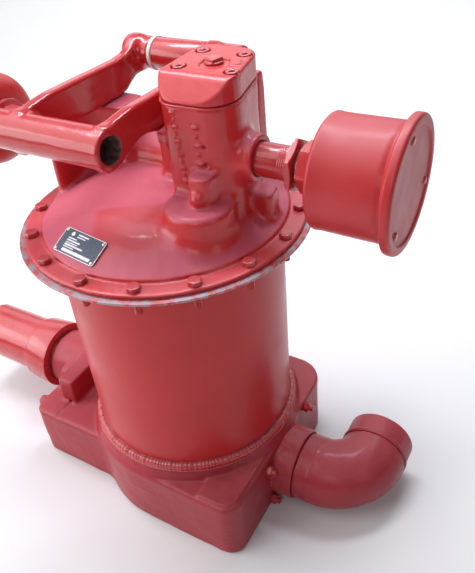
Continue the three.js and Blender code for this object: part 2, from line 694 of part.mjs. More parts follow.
// Plug, stem and piston are turned as separate pieces and move together.
const plugZ = SEAT_Z + 9 + GAP;
add('valve_plug', turned([
  [0, plugZ], [48, plugZ], [50, plugZ + 3], [50, plugZ + 9], [20, plugZ + 16], [9, plugZ + 20],
  [9, PISTON_Z - GAP], [0, PISTON_Z - GAP],
], ROUND), steel());
add('piston', turned([
  [0, PISTON_Z], [DRUM_IN - 0.9, PISTON_Z], [DRUM_IN - 0.9, PISTON_Z + 16], [DRUM_IN - 6, PISTON_Z + 16],
  [DRUM_IN - 8, PISTON_Z + 7], [22, PISTON_Z + 7], [20, PISTON_Z + 18], [0, PISTON_Z + 18],
], ROUND), steel());

// A ring in the drum, with three arms, that guides the stem.
function stemGuide() {
  const z0 = 180;
  const z1 = 188;
  const arms = [0, 120, 240].map((angle) => block(12, DRUM_IN - 3, -6, 6, z0, z1).rotateZ(rad(angle)));
  const whole = join(ring(DRUM_IN - GAP, DRUM_IN - 8, z0, z1, FINE), ring(22, 12, z0 - 8, z1 + 8), ...arms);
  return cut(whole, barZ(9.4, z0 - 9, z1 + 9, 0, 0));
}

add('stem_guide', stemGuide(), steel());

// The main spring as a helix between the piston and the lid.
class Helix extends THREE.Curve {
  constructor(radius, z0, z1, turns) {
    super();
    Object.assign(this, { radius, z0, z1, turns });
  }

  getPoint(t, target = new THREE.Vector3()) {
    const angle = t * this.turns * 2 * Math.PI;
    const z = this.z0 + t * (this.z1 - this.z0);
    return target.set(this.radius * Math.cos(angle), this.radius * Math.sin(angle), z);
  }
}

const SPRING_WIRE = 5;
const springBottom = PISTON_Z + 7 + SPRING_WIRE + 0.5;
const springTop = COVER_Z - SPRING_WIRE + 6;
const wire = new THREE.Shape().absarc(0, 0, SPRING_WIRE, 0, 2 * Math.PI, false);
add('main_spring', new THREE.ExtrudeGeometry(wire, {
  steps: 72, curveSegments: 2, bevelEnabled: false, extrudePath: new Helix(42, springBottom, springTop, 6),
}), springSteel());

// The pilot spool slides in the tower's bore.
add('pilot_spool', turned([
  [0, 455], [14, 455], [14, 470], [6, 473], [6, 500], [14, 503], [14, 516], [6, 519], [6, 548], [0, 548],
]).translate(SPOOL_X, SPOOL_Y, 0), steel());

export default valve;
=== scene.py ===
"""The looks of a red-painted pressure reducing valve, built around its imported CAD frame.

Lengths in this script are millimetres until a mesh is made, where they become metres.
Castings are modelled as signed distance fields with true fillets, turned parts as lathe meshes.
"""

import json
import math

import bmesh
import bpy
import numpy as np
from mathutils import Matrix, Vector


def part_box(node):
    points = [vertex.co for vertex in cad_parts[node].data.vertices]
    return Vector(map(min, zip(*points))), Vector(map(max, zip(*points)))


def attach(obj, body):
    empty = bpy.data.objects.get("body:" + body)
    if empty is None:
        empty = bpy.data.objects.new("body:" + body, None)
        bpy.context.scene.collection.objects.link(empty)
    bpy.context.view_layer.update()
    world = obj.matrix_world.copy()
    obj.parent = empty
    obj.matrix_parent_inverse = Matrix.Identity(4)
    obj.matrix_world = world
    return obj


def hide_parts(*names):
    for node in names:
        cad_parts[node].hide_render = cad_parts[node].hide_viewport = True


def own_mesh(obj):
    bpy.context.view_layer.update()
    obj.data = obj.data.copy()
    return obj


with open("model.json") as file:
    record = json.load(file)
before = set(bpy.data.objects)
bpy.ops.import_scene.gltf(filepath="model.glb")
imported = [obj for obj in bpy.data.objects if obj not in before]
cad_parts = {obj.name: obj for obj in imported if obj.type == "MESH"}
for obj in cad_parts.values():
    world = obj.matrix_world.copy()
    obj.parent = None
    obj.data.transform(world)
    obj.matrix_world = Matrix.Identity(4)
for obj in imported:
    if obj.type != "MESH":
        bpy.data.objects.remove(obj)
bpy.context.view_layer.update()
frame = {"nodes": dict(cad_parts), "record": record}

import openvdb
from mathutils import Matrix, Vector

MM = 0.001
ROOT = "valve_body"
YOKE = "yoke"


# ---- Where the frame puts things ------------------------------------------------------------


class Span:
    """A CAD node's box at rest, in millimetres."""

    def __init__(self, node):
        low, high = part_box(node)
        self.low = np.array(low) / MM
        self.high = np.array(high) / MM
        self.x0, self.y0, self.z0 = self.low
        self.x1, self.y1, self.z1 = self.high
        self.cx, self.cy, self.cz = (self.low + self.high) / 2
        self.size = self.high - self.low


BASE = Span("base_casting")
DRUM = Span("drum_shell")
FLANGE = Span("lower_flange")
GASKET = Span("cover_gasket")
COVER = Span("cover_casting")
CAP = Span("pilot_cap")
CAP_GASKET = Span("cap_gasket")
YOKE_BOX = Span("yoke_frame")
TUBE = Span("pivot_tube")
BOSS = Span("outlet_boss")
ELBOW = Span("outlet_elbow")
END_SLEEVE = Span("outlet_end_sleeve")
INLET_SLEEVE = Span("inlet_sleeve")
INLET_PIPE = Span("inlet_pipe")

DRUM_R = DRUM.x1
RING_R = COVER.x1               # the cover's bolting ring
BOLT = Span("cover_bolt_01")
BOLT_CIRCLE_R = BOLT.cx
COVER_TOP = BOLT.z1 - 5.6       # the bolting face that the sixteen heads stand on
DOME_R = 144.5                  # edge of the lid's shallow dome


# ---- Outlines and meshes --------------------------------------------------------------------


def rounded(corners, steps=5, closed=True):
    """A line of points through corners (x, y, radius), each corner rounded by a true arc."""
    points = []
    count = len(corners)
    for i, (x, y, radius) in enumerate(corners):
        corner = Vector((x, y))
        if not radius or (not closed and i in (0, count - 1)):
            points.append((x, y))
            continue
        back = (Vector(corners[i - 1][:2]) - corner).normalized()
        ahead = (Vector(corners[(i + 1) % count][:2]) - corner).normalized()
        half = back.angle(ahead) / 2
        centre = corner + (back + ahead).normalized() * (radius / math.sin(half))
        start = corner + back * (radius / math.tan(half)) - centre
        turn = 1 if back.x * ahead.y - back.y * ahead.x < 0 else -1
        sweep = math.pi - 2 * half
        for step in range(steps + 1):
            angle = turn * sweep * step / steps
            spun = Vector((
                start.x * math.cos(angle) - start.y * math.sin(angle),
                start.x * math.sin(angle) + start.y * math.cos(angle),
            ))
            points.append(tuple(centre + spun))
    return points


def mesh_piece(name, points, faces, crease=None):
    """A mesh object from points in millimetres. Edges sharper than crease degrees stay sharp."""
    mesh = bpy.data.meshes.new(name)
    mesh.from_pydata((np.asarray(points, float) * MM).tolist(), [], faces)
    mesh.validate()
    mesh.polygons.foreach_set("use_smooth", [True] * len(mesh.polygons))
    if crease is not None:
        mesh.set_sharp_from_angle(angle=math.radians(crease))
    obj = bpy.data.objects.new(name, mesh)
    bpy.context.scene.collection.objects.link(obj)
    return obj


def weld_points(mesh):
    """Makes one point of the points that lie together, where a profile meets its axis."""
    shape = bmesh.new()
    shape.from_mesh(mesh)
    bmesh.ops.remove_doubles(shape, verts=shape.verts, dist=1e-6)
    shape.to_mesh(mesh)
    shape.free()


AXES = {
    "x": Matrix(((0, 0, 1), (0, 1, 0), (-1, 0, 0))),
    "-x": Matrix(((0, 0, -1), (0, 1, 0), (1, 0, 0))),
    "y": Matrix(((1, 0, 0), (0, 0, 1), (0, -1, 0))),
    "z": Matrix.Identity(3),
}


def rings_mesh(name, rings, axis, centre, closed, crease):
    """A mesh through rings of points, each an array (n, 3) about +Z, then laid along axis."""
    count = len(rings[0])
    points = np.concatenate(rings) @ np.array(AXES[axis]).T + np.array(centre)
    faces = []
    last = len(rings) if closed else len(rings) - 1
    for i in range(last):
        j = (i + 1) % len(rings)
        for k in range(count):
            m = (k + 1) % count
            faces.append((i * count + k, i * count + m, j * count + m, j * count + k))
    if not closed:
        faces.append(tuple(range(count))[::-1])
        faces.append(tuple(range((len(rings) - 1) * count, len(rings) * count)))
    obj = mesh_piece(name, points, faces, crease)
    if not closed:
        weld_points(obj.data)
    return obj


def lathe(name, profile, axis="z", centre=(0, 0, 0), segments=160, closed=True, crease=38, wobble=None):
    """Turns (radius, height) points about an axis. closed joins the last point to the first, and
    otherwise both ends are capped. wobble(angle, radius, height) gives a new radius and height."""
    angle = np.arange(segments) * 2 * math.pi / segments
    rings = []
    for radius, height in profile:
        r = np.full(segments, float(radius))
        h = np.full(segments, float(height))
        if wobble:
            r, h = wobble(angle, r, h)
        rings.append(np.stack([r * np.cos(angle), r * np.sin(angle), h], 1))
    return rings_mesh(name, rings, axis, centre, closed, crease)


def hexagon(flats):
    """The radius of a hexagon at an angle, from its width across the flats."""
    def radius(angle, turn=0.0):
        return flats / 2 / np.cos((angle + turn) % (math.pi / 3) - math.pi / 6)
    return radius


def smooth_noise(points, scale, seed):
    """A soft random value near each point, from a few sine waves of about that scale."""
    rng = np.random.default_rng(seed)
    total = np.zeros(len(points))
    for _ in range(7):
        direction = rng.normal(size=3)
        direction /= np.linalg.norm(direction)
        wave = 2 * math.pi / (scale * rng.uniform(0.7, 1.5))
        total += np.sin(points @ direction * wave + rng.uniform(0, 2 * math.pi))
    return total / math.sqrt(7)


# ---- Signed distance fields -----------------------------------------------------------------


def outline_distance(points, u, v):
    """Signed distance to a closed outline at (u, v), negative inside."""
    shape = np.broadcast(u, v).shape
    nearest = np.full(shape, 1e9, np.float32)
    inside = np.zeros(shape, bool)
    for i, (x1, y1) in enumerate(points):
        x0, y0 = points[i - 1]
        ex, ey = x1 - x0, y1 - y0
        length = ex * ex + ey * ey
        if length < 1e-12:
            continue
        along = np.clip(((u - x0) * ex + (v - y0) * ey) / length, 0, 1)
        nearest = np.minimum(nearest, (u - x0 - ex * along) ** 2 + (v - y0 - ey * along) ** 2)
        if y0 != y1:
            crosses = ((y0 > v) != (y1 > v)) & (u < (v - y0) * ex / ey + x0)
            inside = inside ^ crosses
    return np.where(inside, -np.sqrt(nearest), np.sqrt(nearest)).astype(np.float32)


def capped(side, ends, edge):
    """Joins a side distance and an end distance with a rounded edge."""
    a = side + edge
    b = ends + edge
    outer = np.sqrt(np.maximum(a, 0) ** 2 + np.maximum(b, 0) ** 2)
    return np.minimum(np.maximum(a, b), 0) + outer - edge


def blend(a, b, fillet):
    """Joins two distances, filling the corner between them with a fillet."""
    h = np.clip(0.5 + 0.5 * (b - a) / fillet, 0, 1)
    return b * (1 - h) + a * h - fillet * h * (1 - h)


def both_ends(value, low, high):
    return np.abs(value - (low + high) / 2) - (high - low) / 2


class Field:
    """Metal as a signed distance on a regular grid, in millimetres, negative inside."""

    def __init__(self, low, high, step):
        self.step = step
        self.low = np.array(low, float) - 2 * step
        counts = np.ceil((np.array(high, float) + 2 * step - self.low) / step).astype(int) + 1
        lines = [self.low[i] + step * np.arange(counts[i]) for i in range(3)]
        self.x = lines[0][:, None, None].astype(np.float32)
        self.y = lines[1][None, :, None].astype(np.float32)
        self.z = lines[2][None, None, :].astype(np.float32)
        self.d = np.full(counts, 1e3, np.float32)

    def across(self, axis):
        """The two coordinates across an axis, then the one along it."""
        x, y, z = self.x, self.y, self.z
        return {"x": (y, z, x), "y": (x, z, y), "z": (x, y, z)}[axis]

    def slab(self, outline, axis, low, high, edge=0.0):
        """An outline drawn across axis, raised from low to high."""
        u, v, along = self.across(axis)
        return capped(outline_distance(outline, u, v), both_ends(along, low, high), edge)

    def rod(self, axis, centre, radius, low, high, edge=0.0, taper=0.0):
        """A round bar along axis. taper draws its side in with height."""
        u, v, along = self.across(axis)
        side = np.hypot(u - centre[0], v - centre[1]) - radius + taper * (along - low)
        return capped(side, both_ends(along, low, high), edge)

    def box(self, low, high, edge=0.0):
        u = both_ends(self.x, low[0], high[0]) + edge
        v = both_ends(self.y, low[1], high[1]) + edge
        w = both_ends(self.z, low[2], high[2]) + edge
        outer = np.sqrt(np.maximum(u, 0) ** 2 + np.maximum(v, 0) ** 2 + np.maximum(w, 0) ** 2)
        return np.minimum(np.maximum(u, np.maximum(v, w)), 0) + outer - edge

    def ball(self, centre, radius):
        square = (self.x - centre[0]) ** 2 + (self.y - centre[1]) ** 2 + (self.z - centre[2]) ** 2
        return np.sqrt(square) - radius

    def turned(self, profile, centre=(0, 0)):
        """A closed (radius, height) outline turned about +Z."""
        r = np.hypot(self.x - centre[0], self.y - centre[1])[:, :, 0]
        pitch = self.step / 2
        line = np.arange(0, r.max() + 3 * pitch, pitch, dtype=np.float32)
        table = outline_distance(profile, line[:, None], self.z[0])
        cell = (r / pitch).astype(int)
        share = (r / pitch - cell)[:, :, None]
        return table[cell] * (1 - share) + table[cell + 1] * share

    def join(self, other, fillet=0.0):
        self.d = blend(self.d, other, fillet) if fillet else np.minimum(self.d, other)

    def cut(self, other, fillet=0.0):
        self.d = -blend(-self.d, other, fillet) if fillet else np.maximum(self.d, -other)

    def piece(self, name, relax=1):
        """The surface of the metal as a mesh object."""
        far = 4 * self.step
        grid = openvdb.FloatGrid(far)
        grid.copyFromArray(np.clip(self.d, -far, far))
        points, quads = grid.convertToQuads(isovalue=0.0)
        obj = mesh_piece(name, points * self.step + self.low, quads[:, ::-1].tolist())
        if relax:
            soften = obj.modifiers.new("relax", "SMOOTH")
            soften.factor = 0.5
            soften.iterations = relax
            apply_modifiers(obj)
        return obj


def apply_modifiers(obj):
    graph = bpy.context.evaluated_depsgraph_get()
    mesh = bpy.data.meshes.new_from_object(obj.evaluated_get(graph))
    obj.modifiers.clear()
    obj.data = mesh


def mesh_points(obj):
    """A mesh's points in millimetres."""
    co = np.empty(len(obj.data.vertices) * 3)
    obj.data.vertices.foreach_get("co", co)
    return co.reshape(-1, 3) / MM


def roughen(obj, layers):
    """Moves a mesh's points along their normals by soft noise: (scale, height) in millimetres."""
    co = mesh_points(obj)
    normals = np.empty(len(co) * 3)
    obj.data.vertices.foreach_get("normal", normals)
    shift = sum(height * smooth_noise(co, scale, seed) for seed, (scale, height) in enumerate(layers))
    co += normals.reshape(-1, 3) * shift[:, None]
    obj.data.vertices.foreach_set("co", (co * MM).ravel())
    obj.data.update()


# ---- Materials ------------------------------------------------------------------------------


class Nodes:
    """A short way to write a material's node tree."""

    def __init__(self, name):
        self.material = bpy.data.materials.new(name)
        self.material.use_nodes = True
        self.tree = self.material.node_tree
        self.shader = self.tree.nodes["Principled BSDF"]

    def add(self, kind, inputs=None, **settings):
        node = self.tree.nodes.new(kind)
        for key, value in settings.items():
            setattr(node, key, value)
        for key, value in (inputs or {}).items():
            self.plug(node.inputs[key], value)
        return node

    def plug(self, socket, value):
        if isinstance(value, bpy.types.NodeSocket):
            self.tree.links.new(value, socket)
        else:
            socket.default_value = value

    def where(self):
        return self.add("ShaderNodeTexCoord").outputs["Object"]

    def noise(self, scale, detail=4, rough=0.55, stretch=(1, 1, 1), at=None):
        mapped = self.add("ShaderNodeMapping", {"Vector": at or self.where(), "Scale": stretch})
        inputs = {"Vector": mapped.outputs[0], "Scale": scale, "Detail": detail, "Roughness": rough}
        return self.add("ShaderNodeTexNoise", inputs).outputs["Fac"]

    def ramp(self, value, low, high, start=0.0, end=1.0):
        node = self.add("ShaderNodeMapRange", {
            "Value": value, "From Min": low, "From Max": high, "To Min": start, "To Max": end,
        }, interpolation_type="SMOOTHSTEP")
        return node.outputs[0]

    def math(self, operation, a, b=0.0):
        node = self.add("ShaderNodeMath", operation=operation)
        self.plug(node.inputs[0], a)
        self.plug(node.inputs[1], b)
        return node.outputs[0]

    def mix(self, share, a, b):
        node = self.add("ShaderNodeMix", data_type="RGBA")
        self.plug(node.inputs[0], share)
        self.plug(node.inputs[6], a)
        self.plug(node.inputs[7], b)
        return node.outputs[2]

    def facing_up(self):
        normal = self.add("ShaderNodeNewGeometry").outputs["Normal"]
        return self.add("ShaderNodeSeparateXYZ", {"Vector": normal}).outputs["Z"]

    def bump(self, height, strength, distance, normal=None):
        inputs = {"Height": height, "Strength": strength, "Distance": distance}
        if normal is not None:
            inputs["Normal"] = normal
        return self.add("ShaderNodeBump", inputs).outputs["Normal"]


RED = (0.50, 0.020, 0.022, 1)
DEEP_RED = (0.33, 0.012, 0.014, 1)
FADED_RED = (0.56, 0.055, 0.065, 1)
BASE_RED = (0.38, 0.020, 0.032, 1)
DEEP_BASE_RED = (0.22, 0.013, 0.020, 1)
DUST = (0.47, 0.17, 0.19, 1)
# dark red-brown: real grime in the specks and the bore, and also painted shade in crevices
GRIME_AND_SHADE = (0.075, 0.018, 0.018, 1)
WORN_RED = (0.66, 0.11, 0.12, 1)
PRIMER = (0.33, 0.25, 0.28, 1)
RUST = (0.15, 0.085, 0.075, 1)
CASTING_RED = (0.60, 0.026, 0.030, 1)
DEEP_CASTING_RED = (0.43, 0.016, 0.019, 1)
LID_DUST = (0.52, 0.095, 0.150, 1)
WIPED = {"x": 12, "y": -84, "turn": 33, "half": 36}      # the patch of the lid that someone has wiped


def lid_dust(n, up):
    """The even coat of dust on the lid's dome, wiped thinner in one patch beside the data plate."""
    at = n.add("ShaderNodeSeparateXYZ", {"Vector": n.where()})
    x, y = at.outputs["X"], at.outputs["Y"]
    reach = n.math("SQRT", n.math("ADD", n.math("POWER", x, 2.0), n.math("POWER", y, 2.0)))
    dome = n.ramp(reach, (DOME_R + 1) * MM, (DOME_R - 2) * MM)
    patch = n.add("ShaderNodeMapping", {
        "Vector": n.where(),
        "Location": (WIPED["x"] * MM, WIPED["y"] * MM, 0),
        "Rotation": (0, 0, math.radians(WIPED["turn"])),
        "Scale": (WIPED["half"] * MM, WIPED["half"] * MM, 1),
    }, vector_type="TEXTURE")
    across = n.add("ShaderNodeSeparateXYZ", {"Vector": patch.outputs[0]})
    sides = [n.math("ABSOLUTE", across.outputs[axis]) for axis in ("X", "Y")]
    off = n.math("ADD", n.math("MAXIMUM", *sides), n.math("MULTIPLY", n.noise(60, detail=3), 0.3))
    left_on = n.math("MULTIPLY", n.ramp(off, 1.02, 1.32, 0.12, 1.0), 0.75)
    return n.math("MULTIPLY", n.math("MULTIPLY", dome, n.ramp(up, 0.5, 0.8)), left_on)


def red_paint(
    name, grain=0.35, dust=0.5, gloss=0.24, chips=0.0, bore=None,
    tone=(RED, DEEP_RED), coat=0.45, shine=0.5, lid=False,
):
    """Red enamel. grain is how rough the metal under it is, dust how much lies on what faces up and
    chips how much of the grey metal shows at edges. bore (y, z, radius) is left bare inside."""
    n = Nodes(name)
    broad = n.noise(5, detail=2)
    patches = n.noise(28, detail=5)
    fine = n.noise(170, detail=6, rough=0.65)
    colour = n.mix(n.ramp(broad, 0.35, 0.68, 0.0, 0.45), *tone)
    colour = n.mix(n.ramp(patches, 0.45, 0.8, 0.0, 0.16), colour, FADED_RED)
    up = n.ramp(n.facing_up(), 0.45, 0.98)
    blotches = n.ramp(n.math("ADD", patches, n.math("MULTIPLY", fine, 0.5)), 0.5, 0.95, 0.65, 1.0)
    dusty = n.math("MULTIPLY", n.math("MULTIPLY", up, blotches), dust)
    colour = n.mix(dusty, colour, DUST)
    if lid:
        on_lid = lid_dust(n, n.facing_up())
        colour = n.mix(on_lid, colour, LID_DUST)
        dusty = n.math("MAXIMUM", dusty, on_lid)
    # painted shade: crevices found by ambient occlusion are darkened towards the grime colour in blotches, and
    # made rougher
    crevice = n.add("ShaderNodeAmbientOcclusion", {"Distance": 0.006}, samples=4).outputs["AO"]
    crevice_shade = n.math("MULTIPLY", n.ramp(crevice, 0.75, 0.2), n.ramp(patches, 0.3, 0.6, 0.12, 0.5))
    colour = n.mix(crevice_shade, colour, GRIME_AND_SHADE)
    edge = n.add("ShaderNodeNewGeometry").outputs["Pointiness"]
    worn = n.math("MULTIPLY", n.ramp(edge, 0.53, 0.60), n.ramp(fine, 0.42, 0.60, 0.15, 0.55))
    colour = n.mix(worn, colour, WORN_RED)
    speck = n.ramp(n.noise(420, detail=2), 0.735, 0.76)
    colour = n.mix(n.math("MULTIPLY", speck, 0.6), colour, GRIME_AND_SHADE)
    if chips:
        spots = n.math("ADD", n.noise(75, detail=6), n.math("MULTIPLY", fine, 0.4))
        chipped = n.ramp(spots, 0.78 - 0.2 * chips, 0.80)
        colour = n.mix(chipped, colour, PRIMER)
    rough = n.ramp(patches, 0.3, 0.7, gloss - 0.04, gloss + 0.06)
    rough = n.math("ADD", rough, n.math("MULTIPLY", dusty, 0.35))
    rough = n.math("ADD", rough, n.math("MULTIPLY", crevice_shade, 0.3))
    if bore:
        y, z, radius = (value * MM for value in bore)
        at = n.add("ShaderNodeSeparateXYZ", {"Vector": n.where()})
        across = n.math("POWER", n.math("SUBTRACT", at.outputs["Y"], y), 2.0)
        square = n.math("ADD", across, n.math("POWER", n.math("SUBTRACT", at.outputs["Z"], z), 2.0))
        inside = n.math("LESS_THAN", square, radius * radius)
        colour = n.mix(inside, colour, n.mix(n.ramp(fine, 0.35, 0.65), RUST, GRIME_AND_SHADE))
        rough = n.math("ADD", rough, n.math("MULTIPLY", inside, 0.5))
    n.plug(n.shader.inputs["Base Color"], colour)
    n.plug(n.shader.inputs["Roughness"], rough)
    normal = n.bump(n.noise(420, detail=3), 0.08, 0.0006)
    normal = n.bump(n.noise(110, detail=5, rough=0.7), 0.30 * grain, 0.0012, normal)
    n.plug(n.shader.inputs["Normal"], normal)
    n.shader.inputs["Specular IOR Level"].default_value = shine
    n.shader.inputs["Coat Weight"].default_value = coat
    n.shader.inputs["Coat Roughness"].default_value = 0.10
    return n.material


def shade(colour, share, lift=0.0):
    return tuple(min(1, c * share + lift) for c in colour[:3]) + (1,)


def plain(name, pattern, share, colours, rough, relief, metallic=0.0, fine=None):
    """A finish of two colours, laid out by noise. pattern is its scale and detail, and share says
    where the second colour starts and where it is full. relief is the bump's strength and height,
    and fine is the noise that it takes its height from, if not the pattern's own."""
    n = Nodes(name)
    spots = n.noise(*pattern)
    n.plug(n.shader.inputs["Base Color"], n.mix(n.ramp(spots, *share), *colours))
    n.plug(n.shader.inputs["Roughness"], n.ramp(spots, 0.3, 0.7, *rough))
    n.plug(n.shader.inputs["Normal"], n.bump(n.noise(**fine) if fine else spots, *relief))
    n.shader.inputs["Metallic"].default_value = metallic
    return n.material


def bare_metal(name, colour, gloss=0.34):
    scratches = {"scale": 300, "detail": 3, "stretch": (1, 1, 12)}
    colours = (colour, shade(colour, 0.45))
    return plain(name, (40, 5), (0.4, 0.75), colours, (gloss, gloss + 0.2), (0.2, 0.0004), 1.0, scratches)


def plate_metal(name, colour, gloss, metallic):
    colours = (colour, shade(colour, 1.35, 0.02))
    return plain(name, (260, 4), (0.4, 0.75), colours, (gloss, gloss + 0.15), (0.1, 0.0002), metallic)


BAR_Y, BAR_Z, BAR_R, BAR_BORE = -91.2, 539.9, 20.6, 14.0      # the yoke's crossbar
IRON = {"grain": 0.6, "gloss": 0.32, "tone": (CASTING_RED, DEEP_CASTING_RED), "coat": 0.2}
BASE_IRON = {"grain": 0.35, "gloss": 0.40, "tone": (BASE_RED, DEEP_BASE_RED), "coat": 0.08, "shine": 0.35}
YOKE_BORE = (BAR_Y, BAR_Z, BAR_BORE + 0.8)
PAINT = {
    "casting": red_paint("cast_iron_red_enamel", dust=0.36, lid=True, **IRON),
    "cap": red_paint("cap_red_enamel", dust=0.12, **IRON),
    "base": red_paint("base_red_enamel", dust=0.25, **BASE_IRON),
    "drum": red_paint("drum_red_enamel", grain=0.08, dust=0.15, gloss=0.33, coat=0.08, shine=0.3),
    "plate": red_paint("steel_plate_red_enamel", grain=0.08, dust=0.3, gloss=0.40, coat=0.05),
    "weld": red_paint("weld_red_enamel", grain=0.9, dust=0.6, gloss=0.26),
    "pipe": red_paint("pipe_red_enamel", grain=0.2, dust=0.25, gloss=0.22),
    "yoke": red_paint("yoke_red_enamel", grain=0.2, dust=0.2, gloss=0.18, bore=YOKE_BORE, coat=0.3),
    "edge": red_paint("flange_edge_enamel", grain=0.3, dust=0.35, chips=1.1),
    "fastener": red_paint("fastener_red_enamel", grain=0.4, dust=0.25, gloss=0.26),
}
STEEL = bare_metal("oiled_steel", (0.46, 0.45, 0.43, 1))
SPRING_STEEL = bare_metal("spring_steel", (0.16, 0.17, 0.19, 1), gloss=0.4)
SEAT_BRASS = bare_metal("seat_brass", (0.62, 0.42, 0.16, 1), gloss=0.3)
NYLON = plain(
    "white_nylon", (90, 4), (0.45, 0.8), ((0.80, 0.78, 0.74, 1), (0.50, 0.42, 0.38, 1)),
    (0.4, 0.6), (0.1, 0.0003), fine={"scale": 500},
)
FIBRE = plain(
    "pressed_fibre_gasket", (600, 5), (0.35, 0.7), ((0.17, 0.12, 0.11, 1), (0.30, 0.24, 0.23, 1)),
    (0.7, 0.9), (0.4, 0.0004),
)
PLATE_EDGE = plate_metal("data_plate_bright_edge", (0.70, 0.71, 0.72, 1), 0.3, 0.8)
PLATE_FIELD = plate_metal("data_plate_dark_field", (0.055, 0.07, 0.105, 1), 0.4, 0.2)
PLATE_MARK = plate_metal("data_plate_white_mark", (0.75, 0.76, 0.78, 1), 0.45, 0.0)


def dress(obj, material, body=ROOT, stands_for=()):
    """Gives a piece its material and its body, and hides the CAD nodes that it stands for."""
    obj.data.materials.clear()
    obj.data.materials.append(material)
    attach(obj, body)
    if stands_for:
        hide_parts(*([stands_for] if isinstance(stands_for, str) else stands_for))
    return obj


# ---- Cover casting --------------------------------------------------------------------------

TOWER = {"x0": CAP.x0 + 2, "x1": CAP.x0 + 90, "y0": CAP.y1 - 104, "y1": CAP.y1, "top": CAP_GASKET.z0 - 0.3}
RIGHT_NIPPLE = Span("right_silencer_nipple")
LEFT_NIPPLE = Span("left_silencer_nipple")
LOBE = {"x": 78.4, "y": -43.8, "r": 37.4, "top": 470.5}
PLUG = Span("cap_plug")


def tower_plan(left=0.0, front=0.0, grow=0.0):
    """The tower's outline in plan, with a large round corner at its front right. The cap reaches
    out further to the left and the front, and its gasket a little further all round."""
    x0, x1, y0, y1 = TOWER["x0"] - left, TOWER["x1"], TOWER["y0"] - front, TOWER["y1"]
    return rounded([
        (x0 - grow, y0 - grow, 22 + 2 * left), (x1 + grow, y0 + 4 - grow, 30),
        (x1 - 22 + grow, y1 + grow, 22), (x0 - grow, y1 + grow, 14),
    ], steps=8)


def lid_profile():
    """The lid's section: a hollow underneath, the bolting ring, a low step and a shallow dome."""
    crown = COVER_TOP + 29.5
    step = COVER_TOP + 3.6
    return rounded([
        (0, crown - 8, 0), (103, crown - 14, 8), (DRUM_R - 9, COVER.z0, 0), (RING_R, COVER.z0, 0),
        (RING_R, COVER_TOP, 3), (DOME_R, COVER_TOP, 0.8), (DOME_R - 0.6, step, 1.4),
        (96, crown - 0.6, 110), (0, crown, 0),
    ], 14)


def cast_marks(f):
    """Two columns of plain raised dots and dashes on the tower's front, in place of cast lettering."""
    front = TOWER["y0"]
    marks = f.d * 0 + 100
    columns = [((54, 560), (60, 487), 11, 3.6), ((78, 548), (80, 510), 5, 4.4)]
    for (x0, z0), (x1, z1), count, size in columns:
        for i in range(count):
            share = i / (count - 1)
            x, z = x0 + (x1 - x0) * share, z0 + (z1 - z0) * share
            half = size if i % 2 == 0 else 1.6
            dash = f.box((x - half, front - 1.0, z - 1.5), (x + half, front + 2, z + 1.5), 1.2)
            marks = np.minimum(marks, dash)
    return marks


def plate_seat(f, lift):
    """The flat that is cut on the flank for the data plate, as a distance."""
    place, half_w, half_h = data_plate_place()
    turn = np.array(place.to_3x3())
    middle = np.array(place.translation) / MM + turn @ np.array(lift)
    u, v, w = (
        (f.x - middle[0]) * turn[0, i] + (f.y - middle[1]) * turn[1, i] + (f.z - middle[2]) * turn[2, i]
        for i in range(3)
    )
    side = np.maximum(np.abs(u) - half_w - 2, np.abs(v) - half_h - 1.6)
    return np.maximum(side, np.maximum(-w, w - 8))


def trunk(f):
    """The rear duct with its round back, the wall behind the dome and the rib at its left end."""
    foot = COVER.z0 + 6
    wall = rounded([
        (-137, -32, 4), (-128, -32, 3.5), (-127, 27, 42), (-70, 31, 6), (-70, 78, 6), (-127, 78, 12),
        (-137, 30, 10),
    ], 8)
    column = rounded([(-16, 18, 12), (40, 18, 4), (40, 60, 4), (-16, 60, 12)])
    parts = [
        (f.rod("x", (66, 452), 31, -118, 60, edge=8), 8),
        (f.box((-118, 30, foot), (60, 97, 452), 6), 4),
        (f.slab(wall, "z", foot, 521, edge=4), 12),
        (f.slab(column, "z", foot, 516, edge=4), 12),
        (f.rod("x", (LEFT_NIPPLE.cy, LEFT_NIPPLE.cz), 27, -149, -126, edge=2.5), 9),
    ]
    for shape, fillet in parts:
        f.join(shape, fillet)


def rear_posts(f):
    """The upright behind the tower and the two saddles under the pivot tube."""
    foot = COVER.z0 + 6
    upright = rounded([(84, foot, 0), (112, foot, 0), (106, 558, 6), (94, 558, 6)])
    saddle = rounded([(84, foot, 0), (124, foot, 0), (129, TUBE.cz - 10, 0), (108, TUBE.cz - 10, 0)])
    f.join(f.slab(upright, "x", 68, 80, edge=2.5), 9)
    for x in (-60, -22):
        f.join(f.slab(saddle, "x", x, x + 14, edge=2.5), 9)


